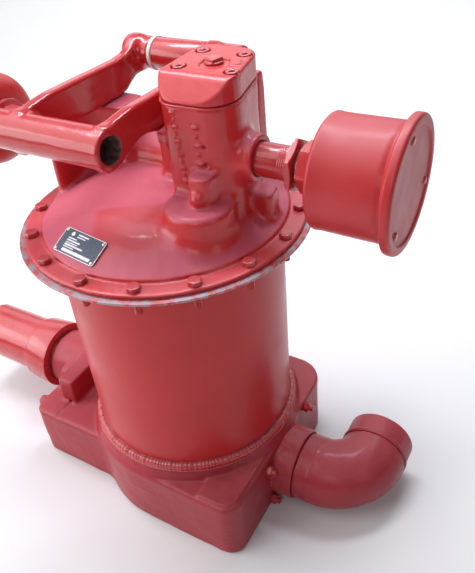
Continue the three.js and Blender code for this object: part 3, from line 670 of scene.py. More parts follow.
def cover_casting():
    """The lid with its pilot tower, one casting with true fillets and a sand-cast skin."""
    f = Field(COVER.low, COVER.high, 1.5)
    f.join(f.turned(lid_profile()))
    lobe = f.rod("z", (LOBE["x"], LOBE["y"]), LOBE["r"] + 2, COVER.z0 + 5, LOBE["top"], edge=7, taper=0.05)
    f.join(lobe, 16)
    tower = f.slab(tower_plan(), "z", COVER.z0 + 5, TOWER["top"], edge=1.2)
    f.join(tower, 11)
    boss = rounded([(71, -53, 10), (97, -53, 10), (97, -20, 0), (71, -20, 0)])
    f.join(f.slab(boss, "z", COVER.z0 + 20, 501.5, edge=2.5), 7)
    f.join(f.ball((84, -52, 480), 7), 6)
    f.join(f.rod("x", (RIGHT_NIPPLE.cy, RIGHT_NIPPLE.cz), 25, 100, 128, edge=2.5), 12)
    side_foot = rounded([(90, 2, 0), (137, 6, 8), (131, 37, 8), (90, 33, 0)])
    f.join(f.slab(side_foot, "z", COVER.z0 + 5, 462, edge=4), 7)
    f.join(f.box((20.8, -24, 517), (38, 10, 531), 3), 5)
    trunk(f)
    rear_posts(f)
    f.join(cast_marks(f), 1.5)
    for z in (527.5, 507.5):
        f.cut(f.rod("y", (85.3, z), 1.9, TOWER["y0"] - 2, TOWER["y0"] + 6), 1)
    f.cut(f.rod("x", (TUBE.cy, TUBE.cz), TUBE.size[1] / 2 + 0.4, TUBE.x0 - 6, TUBE.x1 + 3))
    f.cut(f.rod("z", (77, 16), 16, COVER.z0 - 1, TOWER["top"] + 1))
    f.cut(f.rod("x", (RIGHT_NIPPLE.cy, RIGHT_NIPPLE.cz), 18.3, 112, 130))
    f.cut(f.rod("x", (LEFT_NIPPLE.cy, LEFT_NIPPLE.cz), 18.3, -151, -132))
    holes = f.d * 0 + 100
    for i in range(16):
        angle = i * math.pi / 8
        place = (BOLT_CIRCLE_R * math.cos(angle), BOLT_CIRCLE_R * math.sin(angle))
        holes = np.minimum(holes, f.rod("z", place, 4.6, COVER.z0 - 1, COVER_TOP + 1))
    f.cut(holes)
    seat_low = Vector((0, 0, -0.7))
    f.cut(plate_seat(f, seat_low), 0.8)
    obj = f.piece("cover_body", relax=2)
    roughen(obj, [(11, 0.07), (24, 0.10), (60, 0.18)])
    return dress(obj, PAINT["casting"], stands_for="cover_casting")


# ---- Pilot cap ------------------------------------------------------------------------------


def cap_plan(grow=0.0):
    return tower_plan(left=2, front=1, grow=grow)


def pilot_cap():
    top = 593.6
    screws = [Span(f"cap_screw_{i}") for i in range(1, 5)]
    f = Field(CAP.low, CAP.high, 0.8)
    f.join(f.slab(cap_plan(), "z", CAP.z0, top, edge=3.5))
    # the front slopes up from a lip, and the slope is drawn in (y, z)
    slope = rounded([
        (-60, 569.6, 0), (-60, 620, 0), (-6, 620, 0), (-6, 594.2, 0), (-14, 594.2, 16), (-36.6, 569.6, 0),
    ])
    f.cut(f.slab(slope, "x", 12, 140), 2)
    f.cut(f.rod("z", (PLUG.cx + 5, PLUG.cy - 6), 16, top - 1.6, 600), 1.5)
    f.cut(f.rod("z", (PLUG.cx, PLUG.cy), 11.8, top - 2, 600), 0.8)
    pad = rounded([(94, 14, 3), (104, 17, 3), (98, 30, 3), (88, 27, 3)])
    f.join(f.slab(pad, "z", 588, top + 2, edge=1.6), 3)
    for s in screws:
        f.cut(f.rod("z", (s.cx, s.cy), 8.1, top - 3.2, 600), 1.2)
        f.cut(f.rod("z", (s.cx, s.cy), 4.3, CAP.z0 - 1, 600))
    f.cut(f.rod("z", (PLUG.cx, PLUG.cy), 6.3, top - 14, 600))
    obj = f.piece("cap_body", relax=1)
    roughen(obj, [(9, 0.06), (26, 0.10)])
    return dress(obj, PAINT["cap"], stands_for="pilot_cap")


def cap_line():
    """The gasket under the cap: the paint bridges its edge, which stands out as a thin ridge."""
    low, high = CAP_GASKET.low - (0, 0, 0.7), CAP_GASKET.high + (0, 0, 0.7)
    f = Field(low, high, 0.6)
    f.join(f.slab(cap_plan(0.8), "z", low[2], high[2], edge=1.1))
    obj = f.piece("cap_seal", relax=1)
    return dress(obj, PAINT["cap"], stands_for="cap_gasket")


def cap_plug():
    """The square-headed plug in the cap, its corners softened by paint."""
    s = PLUG
    f = Field((s.cx - 12, s.cy - 12, s.z0), (s.cx + 12, s.cy + 12, s.z1), 0.5)
    half, turn = 7.0, math.radians(-20)
    square = [(-half, -half), (half, -half), (half, half), (-half, half)]
    plan = rounded([(
        s.cx + x * math.cos(turn) - y * math.sin(turn), s.cy + x * math.sin(turn) + y * math.cos(turn), 1.6,
    ) for x, y in square])
    f.join(f.slab(plan, "z", s.z1 - 5, s.z1, edge=1.3))
    f.join(f.rod("z", (s.cx, s.cy), 9.8, s.z1 - 5.7, s.z1 - 3.8, edge=0.6), 1.5)
    f.join(f.rod("z", (s.cx, s.cy), 6, s.z0, s.z1 - 5))
    obj = f.piece("priming_plug", relax=1)
    return dress(obj, PAINT["fastener"], stands_for="cap_plug")


def socket_screw(i):
    s = Span(f"cap_screw_{i}")
    top = s.z1
    hexagonal = hexagon(6.0)
    radius = 6.6

    def inside(angle, r, h):
        return np.where(r < 3.9, np.minimum(r, hexagonal(angle)), r), h

    profile = [(0.0, top - 2.8), (3.6, top - 2.8), (3.6, top - 0.6), (4.2, top)]
    profile += [(radius - 1.0, top), (radius - 0.3, top - 0.4), (radius, top - 1.2), (radius, top - 5)]
    profile += [(4, top - 5.2), (4, s.z0), (0.0, s.z0)]
    centre = (s.cx, s.cy, 0)
    obj = lathe(f"socket_screw_{i}", profile, centre=centre, segments=48, closed=False, wobble=inside)
    return dress(obj, PAINT["fastener"], stands_for=f"cap_screw_{i}")


# ---- Bolts ----------------------------------------------------------------------------------


def hex_chamfer(flats, face, rise, shares):
    """Points from a hexagon's flats out to its corners, rising from face. shares are how far out."""
    corner = flats / math.sqrt(3)
    return [(flats / 2 + (corner - flats / 2) * t, face + rise * t) for t in shares]


def hex_head(flats, foot, top, chamfer=0.16):
    """The profile and wobble of a hex head whose corners are chamfered to a circle."""
    corner = flats / math.sqrt(3)
    across = hexagon(flats)
    drop = (corner - flats / 2) * math.tan(math.radians(28))
    profile = [(0.0, top), (flats / 2 * 0.72, top), (flats / 2 * 0.97, top - 0.05)]
    profile += hex_chamfer(flats, top - chamfer, -drop, (0.1, 0.4, 0.7, 1.0))
    profile += [(corner, foot + 0.5), (corner - 0.25, foot)]

    def clamp(angle, r, h):
        return np.minimum(r, across(angle)), h

    return profile, clamp


def cover_bolts():
    """Sixteen hex bolts, turned a little each their own way, with nubs of thread under the flange."""
    rng = np.random.default_rng(5)
    foot = COVER_TOP + 0.1
    profile, clamp = hex_head(13, foot, BOLT.z1)
    pitch = 1.25
    rows = int((COVER.z0 - BOLT.z0) / (pitch / 4))
    shank = [(4.0 - 0.28 * abs(2 * ((i / 4) % 1) - 1), COVER.z0 - i * pitch / 4) for i in range(rows)]
    profile = profile + [(4.0, foot - 0.2)] + shank + [(3.2, BOLT.z0), (0.0, BOLT.z0)]
    first = lathe("bolt_01", profile, segments=48, closed=False, wobble=clamp)
    for i in range(16):
        obj = first if i == 0 else bpy.data.objects.new(f"bolt_{i + 1:02d}", first.data)
        if i:
            bpy.context.scene.collection.objects.link(obj)
        angle = i * math.pi / 8
        place = Vector((BOLT_CIRCLE_R * math.cos(angle), BOLT_CIRCLE_R * math.sin(angle), 0)) * MM
        obj.matrix_world = Matrix.Translation(place) @ Matrix.Rotation(rng.uniform(0, math.pi / 3), 4, "Z")
        dress(obj, PAINT["fastener"], stands_for=f"cover_bolt_{i + 1:02d}")


def outlet_bolts():
    """Studs with nuts on the outlet face."""
    for i in range(1, 4):
        s = Span(f"outlet_bolt_{i}")
        profile, clamp = hex_head(13, 0, 7)
        stud = [(4.2, 7.1), (4.2, s.size[0] - 0.8), (3.4, s.size[0]), (0.0, s.size[0])]
        profile = [(0.0, 0.0), (7.2, 0.0)] + profile[:2:-1] + stud
        obj = lathe(f"outlet_nut_{i}", profile, "x", (s.x0, s.cy, s.cz), 48, closed=False, wobble=clamp)
        dress(obj, PAINT["fastener"], stands_for=f"outlet_bolt_{i}")


# ---- Drum and flanges -----------------------------------------------------------------------


def drum():
    """Rolled plate: not quite round, with the faint waves that make its highlights wander."""
    rows = 64
    inner = DRUM_R - 5
    heights = np.linspace(DRUM.z0, DRUM.z1, rows)
    profile = [(inner, DRUM.z1), (inner, DRUM.z0)] + [(DRUM_R, h) for h in heights]

    def wobble(angle, r, h):
        at = np.stack([DRUM_R * np.cos(angle), DRUM_R * np.sin(angle), h], 1)
        wave = 0.20 * smooth_noise(at, 170, 3) + 0.02 * smooth_noise(at, 60, 4)
        return np.where(r > inner + 1, r - 0.35 + wave.clip(-0.7, 0.35), r), h

    obj = lathe("drum_plate", profile, segments=220, wobble=wobble)
    return dress(obj, PAINT["drum"], stands_for="drum_shell")


def weld():
    """A hand-laid fillet weld at the drum's foot, with its ripples as real geometry."""
    s = Span("weld_bead")
    reach = s.x1 - DRUM_R
    height = s.z1 - s.z0
    segments = 900
    arc = [math.radians(a) for a in range(-8, 99, 9)]
    angle_all = np.arange(segments) * 2 * math.pi / segments
    along = angle_all * DRUM_R
    rng = np.random.default_rng(11)
    beat = np.cumsum(rng.uniform(0.2, 1.8, segments))
    ripple = np.abs(np.sin(beat * math.pi * (along[1] - along[0]) / 4.6))
    ring = np.stack([DRUM_R * np.cos(angle_all), DRUM_R * np.sin(angle_all), 0 * angle_all], 1)
    wander = smooth_noise(ring, 60, 8)
    lumps = smooth_noise(ring, 9, 9)

    def wobble(angle, r, h):
        swell = 1 + 0.07 * wander + 0.05 * lumps + 0.10 * (ripple - 0.6)
        lift = (h - s.z0) * swell
        return np.minimum(DRUM_R + (r - DRUM_R) * swell, s.x1 + 0.8), s.z0 + np.minimum(lift, height + 0.9)

    profile = [(DRUM_R - 1.8, s.z1), (DRUM_R - 1.8, s.z0 - 0.5), (DRUM_R + reach, s.z0 - 0.5)]
    for a in arc:
        full = 0.86 + 0.14 * math.sin(2 * max(a, 0))
        profile.append((DRUM_R + reach * math.cos(a) * full, s.z0 + max(height * math.sin(a) * full, 0)))
    obj = lathe("weld_fillet", profile, segments=segments, wobble=wobble)
    return dress(obj, PAINT["weld"], stands_for="weld_bead")


def drum_flanges():
    rim = FLANGE.x1
    inner = DRUM_R - 5

    def chipped(seed, depth):
        def wobble(angle, r, h):
            at = np.stack([r * np.cos(angle), r * np.sin(angle), h], 1)
            return np.where(r > rim - 4, r - depth * smooth_noise(at, 7, seed).clip(0, 3), r), h
        return wobble

    plate = rounded([
        (inner, FLANGE.z0, 0), (rim, FLANGE.z0, 1.1), (rim, FLANGE.z1, 0.9), (inner, FLANGE.z1, 0),
    ], 3)
    obj = lathe("drum_flange", plate, segments=400, wobble=chipped(21, 0.25))
    dress(obj, PAINT["edge"], stands_for="lower_flange")
    sheet = rounded([
        (inner, GASKET.z0, 0), (GASKET.x1, GASKET.z0, 0.3), (GASKET.x1, GASKET.z1, 0.3),
        (inner, GASKET.z1, 0),
    ], 2)
    obj = lathe("flange_gasket", sheet, segments=400, wobble=chipped(22, 0.35))
    dress(obj, PAINT["casting"], stands_for="cover_gasket")


# ---- Nameplate ------------------------------------------------------------------------------


def data_plate_place():
    """Where the CAD nameplate lies, as a matrix, and half its width and height."""
    tilt, turn = math.radians(28.5), math.radians(-8.7)
    s = Span("nameplate")
    place = Matrix.Rotation(turn, 4, "Z") @ Matrix.Rotation(tilt, 4, "X")
    return Matrix.Translation(Vector((s.cx, s.cy, s.cz)) * MM) @ place, 31.0, 14.75


def nameplate():
    """A blank data plate: a dark field with plain bars and boxes, a bright border and four rivets."""
    place, half_w, half_h = data_plate_place()

    def bar(name, cx, cy, w, h, z0, z1, radius, material):
        outline = rounded([
            (cx - w / 2, cy - h / 2, radius), (cx + w / 2, cy - h / 2, radius),
            (cx + w / 2, cy + h / 2, radius), (cx - w / 2, cy + h / 2, radius),
        ], 3)
        count = len(outline)
        points = [(x, y, z0) for x, y in outline] + [(x, y, z1) for x, y in outline]
        sides = [(i, (i + 1) % count, (i + 1) % count + count, i + count) for i in range(count)]
        ends = [tuple(range(count))[::-1], tuple(range(count, 2 * count))]
        obj = mesh_piece(name, points, ends + sides, 30)
        obj.matrix_world = place
        return dress(obj, material)

    plate = bar("data_plate", 0, 0, 2 * half_w, 2 * half_h, -0.6, 0.4, 2.5, PLATE_EDGE)
    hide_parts("nameplate")
    bar("data_plate_field", 0, 0, 2 * half_w - 1.2, 2 * half_h - 1.2, 0.3, 0.46, 1.8, PLATE_FIELD)
    bars = [
        (-17.5, 9.3, 5, 5, 2.4), (-2, 10.6, 16, 1.6, 0.3), (-3.5, 7.8, 13, 1.2, 0.3),
        (-14.5, 4.2, 13, 1.4, 0.3), (-11, 1.4, 20, 1.7, 0.4), (-12, -1.4, 18, 1.1, 0.3),
        (-7, -3.9, 28, 1.8, 0.4), (-13, -6.5, 16, 1.1, 0.3), (2.0, -10.4, 44, 3.6, 0.8),
    ]
    for i, (x, y, w, h, radius) in enumerate(bars):
        bar(f"data_plate_bar_{i + 1}", x, y, w, h, 0.4, 0.52, radius, PLATE_MARK)
    for i, (x, y) in enumerate([(-28, 11.8), (28, 11.8), (-28, -11.8), (28, -11.8)]):
        dome = [(0.0, 1.5), (0.9, 1.35), (1.6, 0.95), (1.95, 0.35), (2.0, -0.5), (0.0, -0.5)]
        rivet = lathe(f"data_plate_rivet_{i + 1}", dome, centre=(x, y, 0.2), segments=24, closed=False)
        rivet.matrix_world = place
        dress(rivet, PLATE_EDGE)


# ---- Silencers ------------------------------------------------------------------------------


def silencer(side, prefix):
    """One silencer, built along its axis from the casting outwards: distances are along that axis."""
    axis = "x" if side > 0 else "-x"
    spans = {p: Span(f"{prefix}_{p}") for p in ("nipple", "locknut", "reducer", "can", "end_plate")}
    centre = (0, spans["can"].cy, spans["can"].cz)
    near = {p: (s.x0 if side > 0 else -s.x1) for p, s in spans.items()}
    far = {p: (s.x1 if side > 0 else -s.x0) for p, s in spans.items()}

    def turn_piece(part, profile, closed=True, segments=128, wobble=None, crease=32, paint="pipe"):
        obj = lathe(f"{prefix}_{part}_painted", profile, axis, centre, segments, closed, crease, wobble)
        return dress(obj, PAINT[paint], stands_for=f"{prefix}_{part}")

    r = spans["nipple"].size[1] / 2
    bore = r - 4
    pitch = 2.3
    start, end = near["nipple"], far["nipple"]
    rows = int((end - start) / pitch * 5)
    body = [(r, start + (end - start) * i / rows) for i in range(rows + 1)]
    nut = near["locknut"]

    def thread(angle, radius, h):
        depth = 0.55 * np.abs(2 * ((h / pitch - angle / (2 * math.pi)) % 1) - 1)
        fade = np.clip((h - (nut - 14)) / 6, 0.0, 1.0)
        return np.where(radius > bore + 1, radius - depth * fade, radius), h

    turn_piece("nipple", [(bore, end), (bore, start)] + body, wobble=thread, segments=72, crease=60)

    flats = 50
    a, b = near["locknut"], far["locknut"]
    across = hexagon(flats)
    nut_profile = [(r + 0.3, b), (r + 0.3, a), (flats / 2 - 0.6, a)]
    nut_profile += hex_chamfer(flats, a + 0.2, 1.6, (0.0, 0.35, 0.7, 1.0))
    nut_profile += hex_chamfer(flats, b - 0.2, -1.6, (1.0, 0.7, 0.35, 0.0))
    nut_profile += [(flats / 2 - 0.6, b)]

    def nut_shape(angle, radius, h):
        return np.minimum(radius, across(angle)), h

    turn_piece("locknut", nut_profile, wobble=nut_shape, segments=96, crease=24)

    flats2 = 46
    a, b = near["reducer"], far["reducer"]
    hex_end = a + 14
    across2 = hexagon(flats2)
    red = [(r + 0.3, b), (r + 0.3, a), (flats2 / 2 - 0.6, a)]
    red += hex_chamfer(flats2, a + 0.2, 1.4, (0.0, 0.35, 0.7, 1.0))
    red += hex_chamfer(flats2, hex_end - 0.2, -1.2, (1.0, 0.5, 0.0))
    red += [(21.5, hex_end), (21.5, b - 6), (23, b - 5), (28, b - 4.6), (29, b - 3.6), (29, b)]

    def reducer_shape(angle, radius, h):
        hexed = np.minimum(radius, across2(angle, math.pi / 6))
        return np.where(h <= hex_end - 0.1, hexed, radius), h

    turn_piece("reducer", red, wobble=reducer_shape, segments=96, crease=24)

    outer = spans["can"].size[1] / 2
    a, b = near["can"], far["can"]
    wall = outer - 2.5
    shoulder = 4.5 if side > 0 else 26
    shell = rounded([(r + 3, a, 0), (outer, a, shoulder), (outer, b - 4, 0)], 12, closed=False)
    start = a + shoulder + 4
    shell = shell[:-1] + [(outer - 0.4 + 0.1 * i, start + i * (b - 10 - start) / 4) for i in range(5)]
    shell += [(outer, b - 6), (outer - 0.9, b - 4.5), (outer - 0.9, b - 3.2), (outer, b - 2), (outer, b)]
    shell += [(wall, b), (wall, a + shoulder + 3), (wall - 0.6 * shoulder, a + 3), (r + 3, a + 3)]

    def rolled(angle, radius, h):
        at = np.stack([outer * np.cos(angle), outer * np.sin(angle), h], 1)
        outside = (radius > wall + 1) & (h > a + shoulder)
        return np.where(outside, radius - 0.2 + 0.15 * smooth_noise(at, 70, 31), radius), h

    turn_piece("can", shell, wobble=rolled, segments=180, paint="plate")

    rim = spans["end_plate"].size[1] / 2
    a, b = near["end_plate"], far["end_plate"]
    disc = [(0.0, a)] + rounded([
        (0, a, 0), (rim, a, 2.0), (rim, b, 3.4), (rim - 9, b, 1.6), (rim - 10.5, b - 2, 1.0), (0, b - 2, 0),
    ], 5, closed=False)[1:]
    turn_piece("end_plate", disc, closed=False, segments=180, paint="plate")
    bumps(prefix, axis, centre, b - 2, rim)


def bumps(prefix, axis, centre, face, rim):
    """Three flat screw heads on the end plate's face."""
    spin = np.array(AXES[axis])
    for i, turn in enumerate((70, 190, 310)):
        angle = math.radians(turn)
        reach = rim - 17
        local = np.array((reach * math.cos(angle), reach * math.sin(angle), face))
        place = spin @ local + np.array(centre)
        head = [(0.0, 1.9), (2.6, 1.9), (3.6, 1.4), (4.2, 0.5), (4.3, -0.4), (0.0, -0.4)]
        obj = lathe(f"{prefix}_plate_screw_{i + 1}", head, axis, tuple(place), 32, closed=False)
        dress(obj, PAINT["fastener"])


# ---- Yoke -----------------------------------------------------------------------------------


def arm_side():
    """The side view of one arm in (y, z): a bar eye, a waist, a deep middle and a pivot boss."""
    return [
        (BAR_Y - 8, BAR_Z - BAR_R), (-72, 520.5), (-60, 527), (-46, 530.8), (-32, 531.2), (-20, 528), (-9, 523),
        (2, 521.6), (62, 521.6), (76, 523), (88, 530), (98, 534.5), (106, 535.6), (TUBE.cy, TUBE.cz - 19),
        (TUBE.cy, TUBE.cz + 19), (108, 574.5), (98, 569), (84, 564.5), (66, 563), (-48, 566), (BAR_Y, BAR_Z + 22),
    ]


def yoke():
    """Two arms and an open-ended crossbar, welded into one frame with soft joints."""
    s = YOKE_BOX
    arm_t = 13.7
    arms = (4.6, -104.9)
    f = Field(s.low, s.high, 1.15)
    f.join(f.rod("x", (BAR_Y, BAR_Z), BAR_R, s.x0, arms[0] + arm_t, edge=1.5))
    for x in arms:
        f.join(f.slab(arm_side(), "x", x, x + arm_t, edge=3.6), 7)
    washer = Span("left_thrust_washer")
    for x0, x1 in ((s.x0 + 58, washer.x0 - 0.3), (4.6, 48)):
        f.join(f.rod("x", (TUBE.cy, TUBE.cz), 18.9, x0, x1, edge=1.8), 11)
    f.cut(f.rod("x", (BAR_Y, BAR_Z), BAR_BORE, s.x0 - 3, arms[0] + arm_t + 3), 1.2)
    f.cut(f.rod("x", (TUBE.cy, TUBE.cz), 10.15, s.x0 - 3, s.x1 + 3))
    f.cut(f.box((washer.x0 - 0.3, 95, 520), (4.3, 150, 590)))
    obj = f.piece("yoke_body", relax=2)
    roughen(obj, [(14, 0.04), (40, 0.12)])
    return dress(obj, PAINT["yoke"], YOKE, stands_for="yoke_frame")


def pivot():
    """The fixed tube between the yoke's bosses, with its two washers."""
    r = TUBE.size[1] / 2
    tube = rounded([(10.3, TUBE.x0, 0), (r, TUBE.x0, 0.8), (r, TUBE.x1, 0.8), (10.3, TUBE.x1, 0)], 3)
    centre = (0, TUBE.cy, TUBE.cz)
    obj = lathe("pivot_sleeve", tube, "x", centre, 128)
    dress(obj, PAINT["pipe"], stands_for="pivot_tube")
    for node, name, material, slot in (
        ("left_thrust_washer", "nylon_washer", NYLON, "white_nylon"),
        ("right_thrust_washer", "painted_washer", PAINT["fastener"], "red_painted_steel"),
    ):
        s = Span(node)
        edge = s.size[1] / 2
        ring = rounded([(10.3, s.x0, 0), (edge, s.x0, 1.0), (edge, s.x1, 1.0), (10.3, s.x1, 0)], 4)
        obj = lathe(name, ring, "x", centre, 96)
        dress(obj, material, stands_for=node)
    s = Span("pivot_shaft")
    end = [(0.0, 0.0), (8.5, 0.0), (10.5, 0.6), (12.9, 2.4), (13, 5.6), (10, 5.7)]
    ends = [(radius, s.x0 + inset) for radius, inset in end]
    ends += [(radius, s.x1 - inset) for radius, inset in reversed(end)]
    obj = lathe("pivot_pin", ends, "x", centre, 96, closed=False)
    dress(obj, PAINT["fastener"], stands_for="pivot_shaft")


# ---- Base and pipes -------------------------------------------------------------------------


def base():
    """The foot casting: a low left block, a round middle and a square right block."""
    s = BASE
    top, left_top = 98.5, 89.4
    inlet_y, inlet_z = INLET_PIPE.cy, INLET_PIPE.cz
    right_plan = rounded([
        (0, s.y0, 0), (146, s.y0, 24), (146, 138, 42), (-40, 138, 30), (-40, 0, 0), (0, 0, 0),
    ], 8)
    left_plan = rounded([(-219, -122, 16), (0, -122, 0), (0, 112, 0), (-219, 112, 20)], 6)
    pad_plan = rounded([(89, s.y0 + 5, 2), (141, s.y0 + 5, 20), (141, -30, 0), (89, -30, 0)], 6)
    flange = rounded([
        (inlet_y - 77, 60, 0), (inlet_y + 77, 60, 0), (inlet_y + 77, 131, 10), (inlet_y - 77, 131, 4),
    ], 4)
    end_plate = rounded([(-84, 60, 0), (66, 60, 0), (50, 118, 12), (-58, 118, 12)], 4)
    f = Field(s.low, s.high, 1.8)
    f.join(f.slab(left_plan, "z", -20, left_top, edge=5))
    block = np.minimum(outline_distance(right_plan, f.x, f.y), np.hypot(f.x, f.y) - 150)
    f.join(capped(block, both_ends(f.z, -20, top), 4), 6)
    f.join(f.slab(pad_plan, "z", 80, top + 3, edge=1.3))
    foot = DRUM.z0 - 0.3
    collar = rounded([(0, 60, 0), (149.5, 60, 0), (149, top - 1, 0), (143, foot, 3), (0, foot, 0)])
    f.join(f.turned(collar), 3)
    f.join(f.slab(flange, "x", -191, -164, edge=3.5), 6)
    f.join(f.slab(end_plate, "x", -214, -198, edge=3), 6)
    f.join(f.rod("x", (inlet_y, inlet_z), 43, -246, -170, edge=1), 6)
    f.join(f.rod("x", (-98, left_top - 8), 8, -226, -212, edge=2), 3)
    f.cut(f.box((-176, -130, left_top - 1.4), (-173.5, -40, left_top + 3)), 1)
    f.cut(f.rod("z", (0, 0), 124, 9, 130))
    f.join(f.rod("z", (0, 0), 58, 3, 92.0, edge=1), 6)
    f.cut(f.rod("z", (0, 0), 48, 13, 93.3))
    duct = np.maximum(f.rod("x", (BOSS.cy, BOSS.cz), 42, 40, 140), -f.rod("z", (0, 0), 57, 3, 92))
    f.join(duct, 6)
    f.cut(f.rod("x", (BOSS.cy, BOSS.cz), 36, 0, 148))
    f.cut(f.rod("x", (inlet_y, inlet_z), 34, -248, -176))
    f.cut(f.box((-186, inlet_y - 40, 24), (-110, inlet_y + 40, left_top - 10), 4))
    f.cut(f.box((s.x0 - 9, s.y0 - 9, -30), (s.x1 + 9, s.y1 + 9, 1)))
    obj = f.piece("base_body", relax=5)
    roughen(obj, [(13, 0.08), (30, 0.14), (70, 0.3)])
    return dress(obj, PAINT["base"], stands_for="base_casting")


def inlet():
    s = INLET_SLEEVE
    r0, r1 = 49.8, s.size[1] / 2 + 1.6
    bore = 44.3
    profile = rounded([
        (bore, s.x0, 0), (r0, s.x0, 1.6), (r0 + 0.5, s.x0 + 3, 0), (r1, s.x1, 1.2), (bore, s.x1, 0),
    ], 4)
    obj = lathe("inlet_collar", profile, "x", (0, s.cy, s.cz), 160)
    dress(obj, PAINT["pipe"], stands_for="inlet_sleeve")
    p = INLET_PIPE
    r = p.size[1] / 2
    rows = [(r, p.x0 + 1.2 + (p.x1 - p.x0 - 1.2) * i / 12) for i in range(13)]
    profile = [(r - 4.7, p.x1), (r - 4.7, p.x0), (r - 1.0, p.x0)] + rows

    def drawn(angle, radius, h):
        at = np.stack([r * np.cos(angle), r * np.sin(angle), h], 1)
        return np.where(radius > r - 2, radius - 0.1 + 0.1 * smooth_noise(at, 60, 41), radius), h

    obj = lathe("inlet_tube", profile, "x", (0, p.cy, p.cz), 160, wobble=drawn)
    dress(obj, PAINT["pipe"], stands_for="inlet_pipe")


def outlet():
    """The boss on the base's side, the cast elbow and the sleeve on its end."""
    b = BOSS
    r = b.size[1] / 2
    collar = rounded([(36, b.x0, 0), (r, b.x0, 0), (r, b.x1, 3.0), (46.6, b.x1, 0), (36, b.x1, 0)], 5)
    obj = lathe("outlet_collar", collar, "x", (0, b.cy, b.cz), 160)
    dress(obj, PAINT["base"], stands_for="outlet_boss")

    e = ELBOW
    bend_r = 58.0
    tube_r = 46.0
    start = e.x0 + 20
    f = Field(e.low, e.high, 1.3)
    straight = f.rod("x", (b.cy, b.cz), tube_r, e.x0, start + 1)
    from_centre = np.hypot(f.x - start, f.y - (b.cy + bend_r))
    ring = np.hypot(from_centre - bend_r, f.z - b.cz)
    quarter = np.maximum(start - f.x, f.y - (b.cy + bend_r))
    f.join(np.maximum(ring - tube_r, quarter))
    f.join(straight, 2)
    f.cut(np.maximum(ring - 39, quarter - 3))
    f.cut(f.rod("x", (b.cy, b.cz), 39, e.x0 - 3, start + 2))
    obj = f.piece("elbow_body", relax=2)
    roughen(obj, [(11, 0.06), (22, 0.16), (50, 0.3)])
    dress(obj, PAINT["base"], stands_for="outlet_elbow")

    s = END_SLEEVE
    r = s.size[0] / 2
    profile = rounded([
        (39, s.y0, 0), (r - 1, s.y0, 0.6), (r, s.y0 + 2.5, 1.2), (r, s.y0 + 5, 1.2),
        (r - 1.6, s.y0 + 7.5, 2.0), (r - 1.2, s.y1, 1.6), (39, s.y1, 0),
    ], 4)
    obj = lathe("outlet_tail", profile, "y", (s.cx, 0, s.cz), 160)
    dress(obj, PAINT["base"], stands_for="outlet_end_sleeve")


# ---- Camera, light and floor ----------------------------------------------------------------


def camera():
    """The camera stands above the front right, looking down, and is rolled a few degrees."""
    azimuth, elevation, roll = 0.5751, 0.6578, -0.0961
    level = math.cos(elevation)
    back = Vector((math.sin(azimuth) * level, -math.cos(azimuth) * level, math.sin(elevation)))
    right = (-back).cross(Vector((0, 0, 1))).normalized()
    up = right.cross(-back)
    rolled_right = math.cos(roll) * right + math.sin(roll) * up
    rolled_up = -math.sin(roll) * right + math.cos(roll) * up
    turn = Matrix((rolled_right, rolled_up, back)).transposed()
    data = bpy.data.cameras.new("camera")
    data.lens = 40.41
    data.clip_start = 0.01
    obj = bpy.data.objects.new("camera", data)
    obj.matrix_world = Matrix.Translation((0.4195, -0.5116, 0.8034)) @ turn.to_4x4()
    bpy.context.scene.collection.objects.link(obj)
    bpy.context.scene.camera = obj


def area_light(name, place, target, size, power, colour=(1, 1, 1)):
    data = bpy.data.lights.new(name, "AREA")
    data.shape = "RECTANGLE"
    data.size, data.size_y = size
    data.energy = power
    data.color = colour
    obj = bpy.data.objects.new(name, data)
    aim = Vector(target) - Vector(place)
    obj.matrix_world = Matrix.Translation(place) @ aim.to_track_quat("-Z", "Y").to_matrix().to_4x4()
    bpy.context.scene.collection.objects.link(obj)


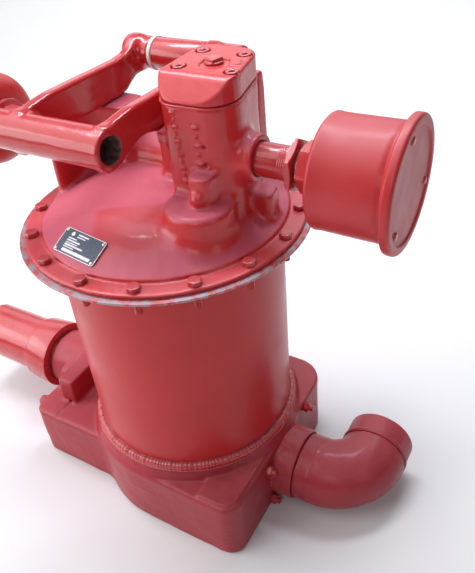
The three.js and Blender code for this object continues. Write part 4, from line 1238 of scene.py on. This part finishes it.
def studio():
    """A wide bright window at the left, a narrow panel above and behind, two weak fills, and a
    low panel that whitens the floor behind the part."""
    middle = (0, 0, 0.3)
    area_light("ceiling_panel", (-0.35, 0.45, 1.9), middle, (1.7, 0.30), 34, (0.88, 0.90, 1.0))
    area_light("left_window", (-1.7, -1.3, 1.0), middle, (1.9, 1.2), 27, (0.97, 0.95, 1.0))
    area_light("right_fill", (1.8, -0.6, 1.2), middle, (0.5, 1.2), 2.5, (1.0, 0.96, 0.93))
    area_light("front_fill", (0.7, -1.9, 1.7), middle, (1.0, 0.8), 7, (1.0, 0.96, 1.0))
    area_light("backdrop_wash", (-1.5, 2.6, 1.3), (-1.5, 2.6, 0), (4.0, 3.0), 45)
    sun = bpy.data.lights.new("sky_glow", "SUN")
    sun.energy = 1.5
    sun.angle = math.radians(60)
    glow = bpy.data.objects.new("sky_glow", sun)
    glow.matrix_world = Vector((0.75, 0.30, -1.0)).to_track_quat("-Z", "Y").to_matrix().to_4x4()
    bpy.context.scene.collection.objects.link(glow)
    world = bpy.data.worlds.new("studio")
    world.use_nodes = True
    background = world.node_tree.nodes["Background"]
    background.inputs["Color"].default_value = (0.90, 0.92, 1.0, 1)
    background.inputs["Strength"].default_value = 0.16
    bpy.context.scene.world = world
    bpy.context.scene.view_settings.view_transform = "Standard"


def floor():
    mesh = bpy.data.meshes.new("floor")
    reach = 14.0
    corners = [(-reach, -reach, 0), (reach, -reach, 0), (reach, reach, 0), (-reach, reach, 0)]
    mesh.from_pydata(corners, [], [(0, 1, 2, 3)])
    obj = bpy.data.objects.new("floor", mesh)
    n = Nodes("pale_floor")
    n.plug(n.shader.inputs["Base Color"], n.mix(n.noise(3), (0.72, 0.72, 0.72, 1), (0.75, 0.75, 0.75, 1)))
    n.shader.inputs["Roughness"].default_value = 0.7
    mesh.materials.append(n.material)
    bpy.context.scene.collection.objects.link(obj)


def dress_cad_nodes():
    """Every CAD node that keeps its own mesh gets a finish by its slot."""
    finish = {
        "red_painted_casting": PAINT["casting"], "red_painted_steel": PAINT["pipe"],
        "red_painted_fasteners": PAINT["fastener"], "bare_steel": STEEL, "spring_steel": SPRING_STEEL,
        "seat_brass": SEAT_BRASS, "white_nylon": NYLON, "gasket_sheet": FIBRE, "plate_metal": STEEL,
    }
    slots = {part["node"]: part["material_slot"] for part in frame["record"]["subparts"]}
    for name, obj in frame["nodes"].items():
        obj.data.materials.clear()
        obj.data.materials.append(finish[slots[name]])


def shorten_spring():
    """Gives the CAD spring a mesh of its own."""
    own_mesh(frame["nodes"]["main_spring"])


camera()
studio()
floor()
dress_cad_nodes()
shorten_spring()
cover_casting()
pilot_cap()
cap_line()
cap_plug()
for screw in range(1, 5):
    socket_screw(screw)
cover_bolts()
outlet_bolts()
drum()
weld()
drum_flanges()
nameplate()
silencer(1, "right_silencer")
silencer(-1, "left_silencer")
yoke()
pivot()
base()
inlet()
outlet()
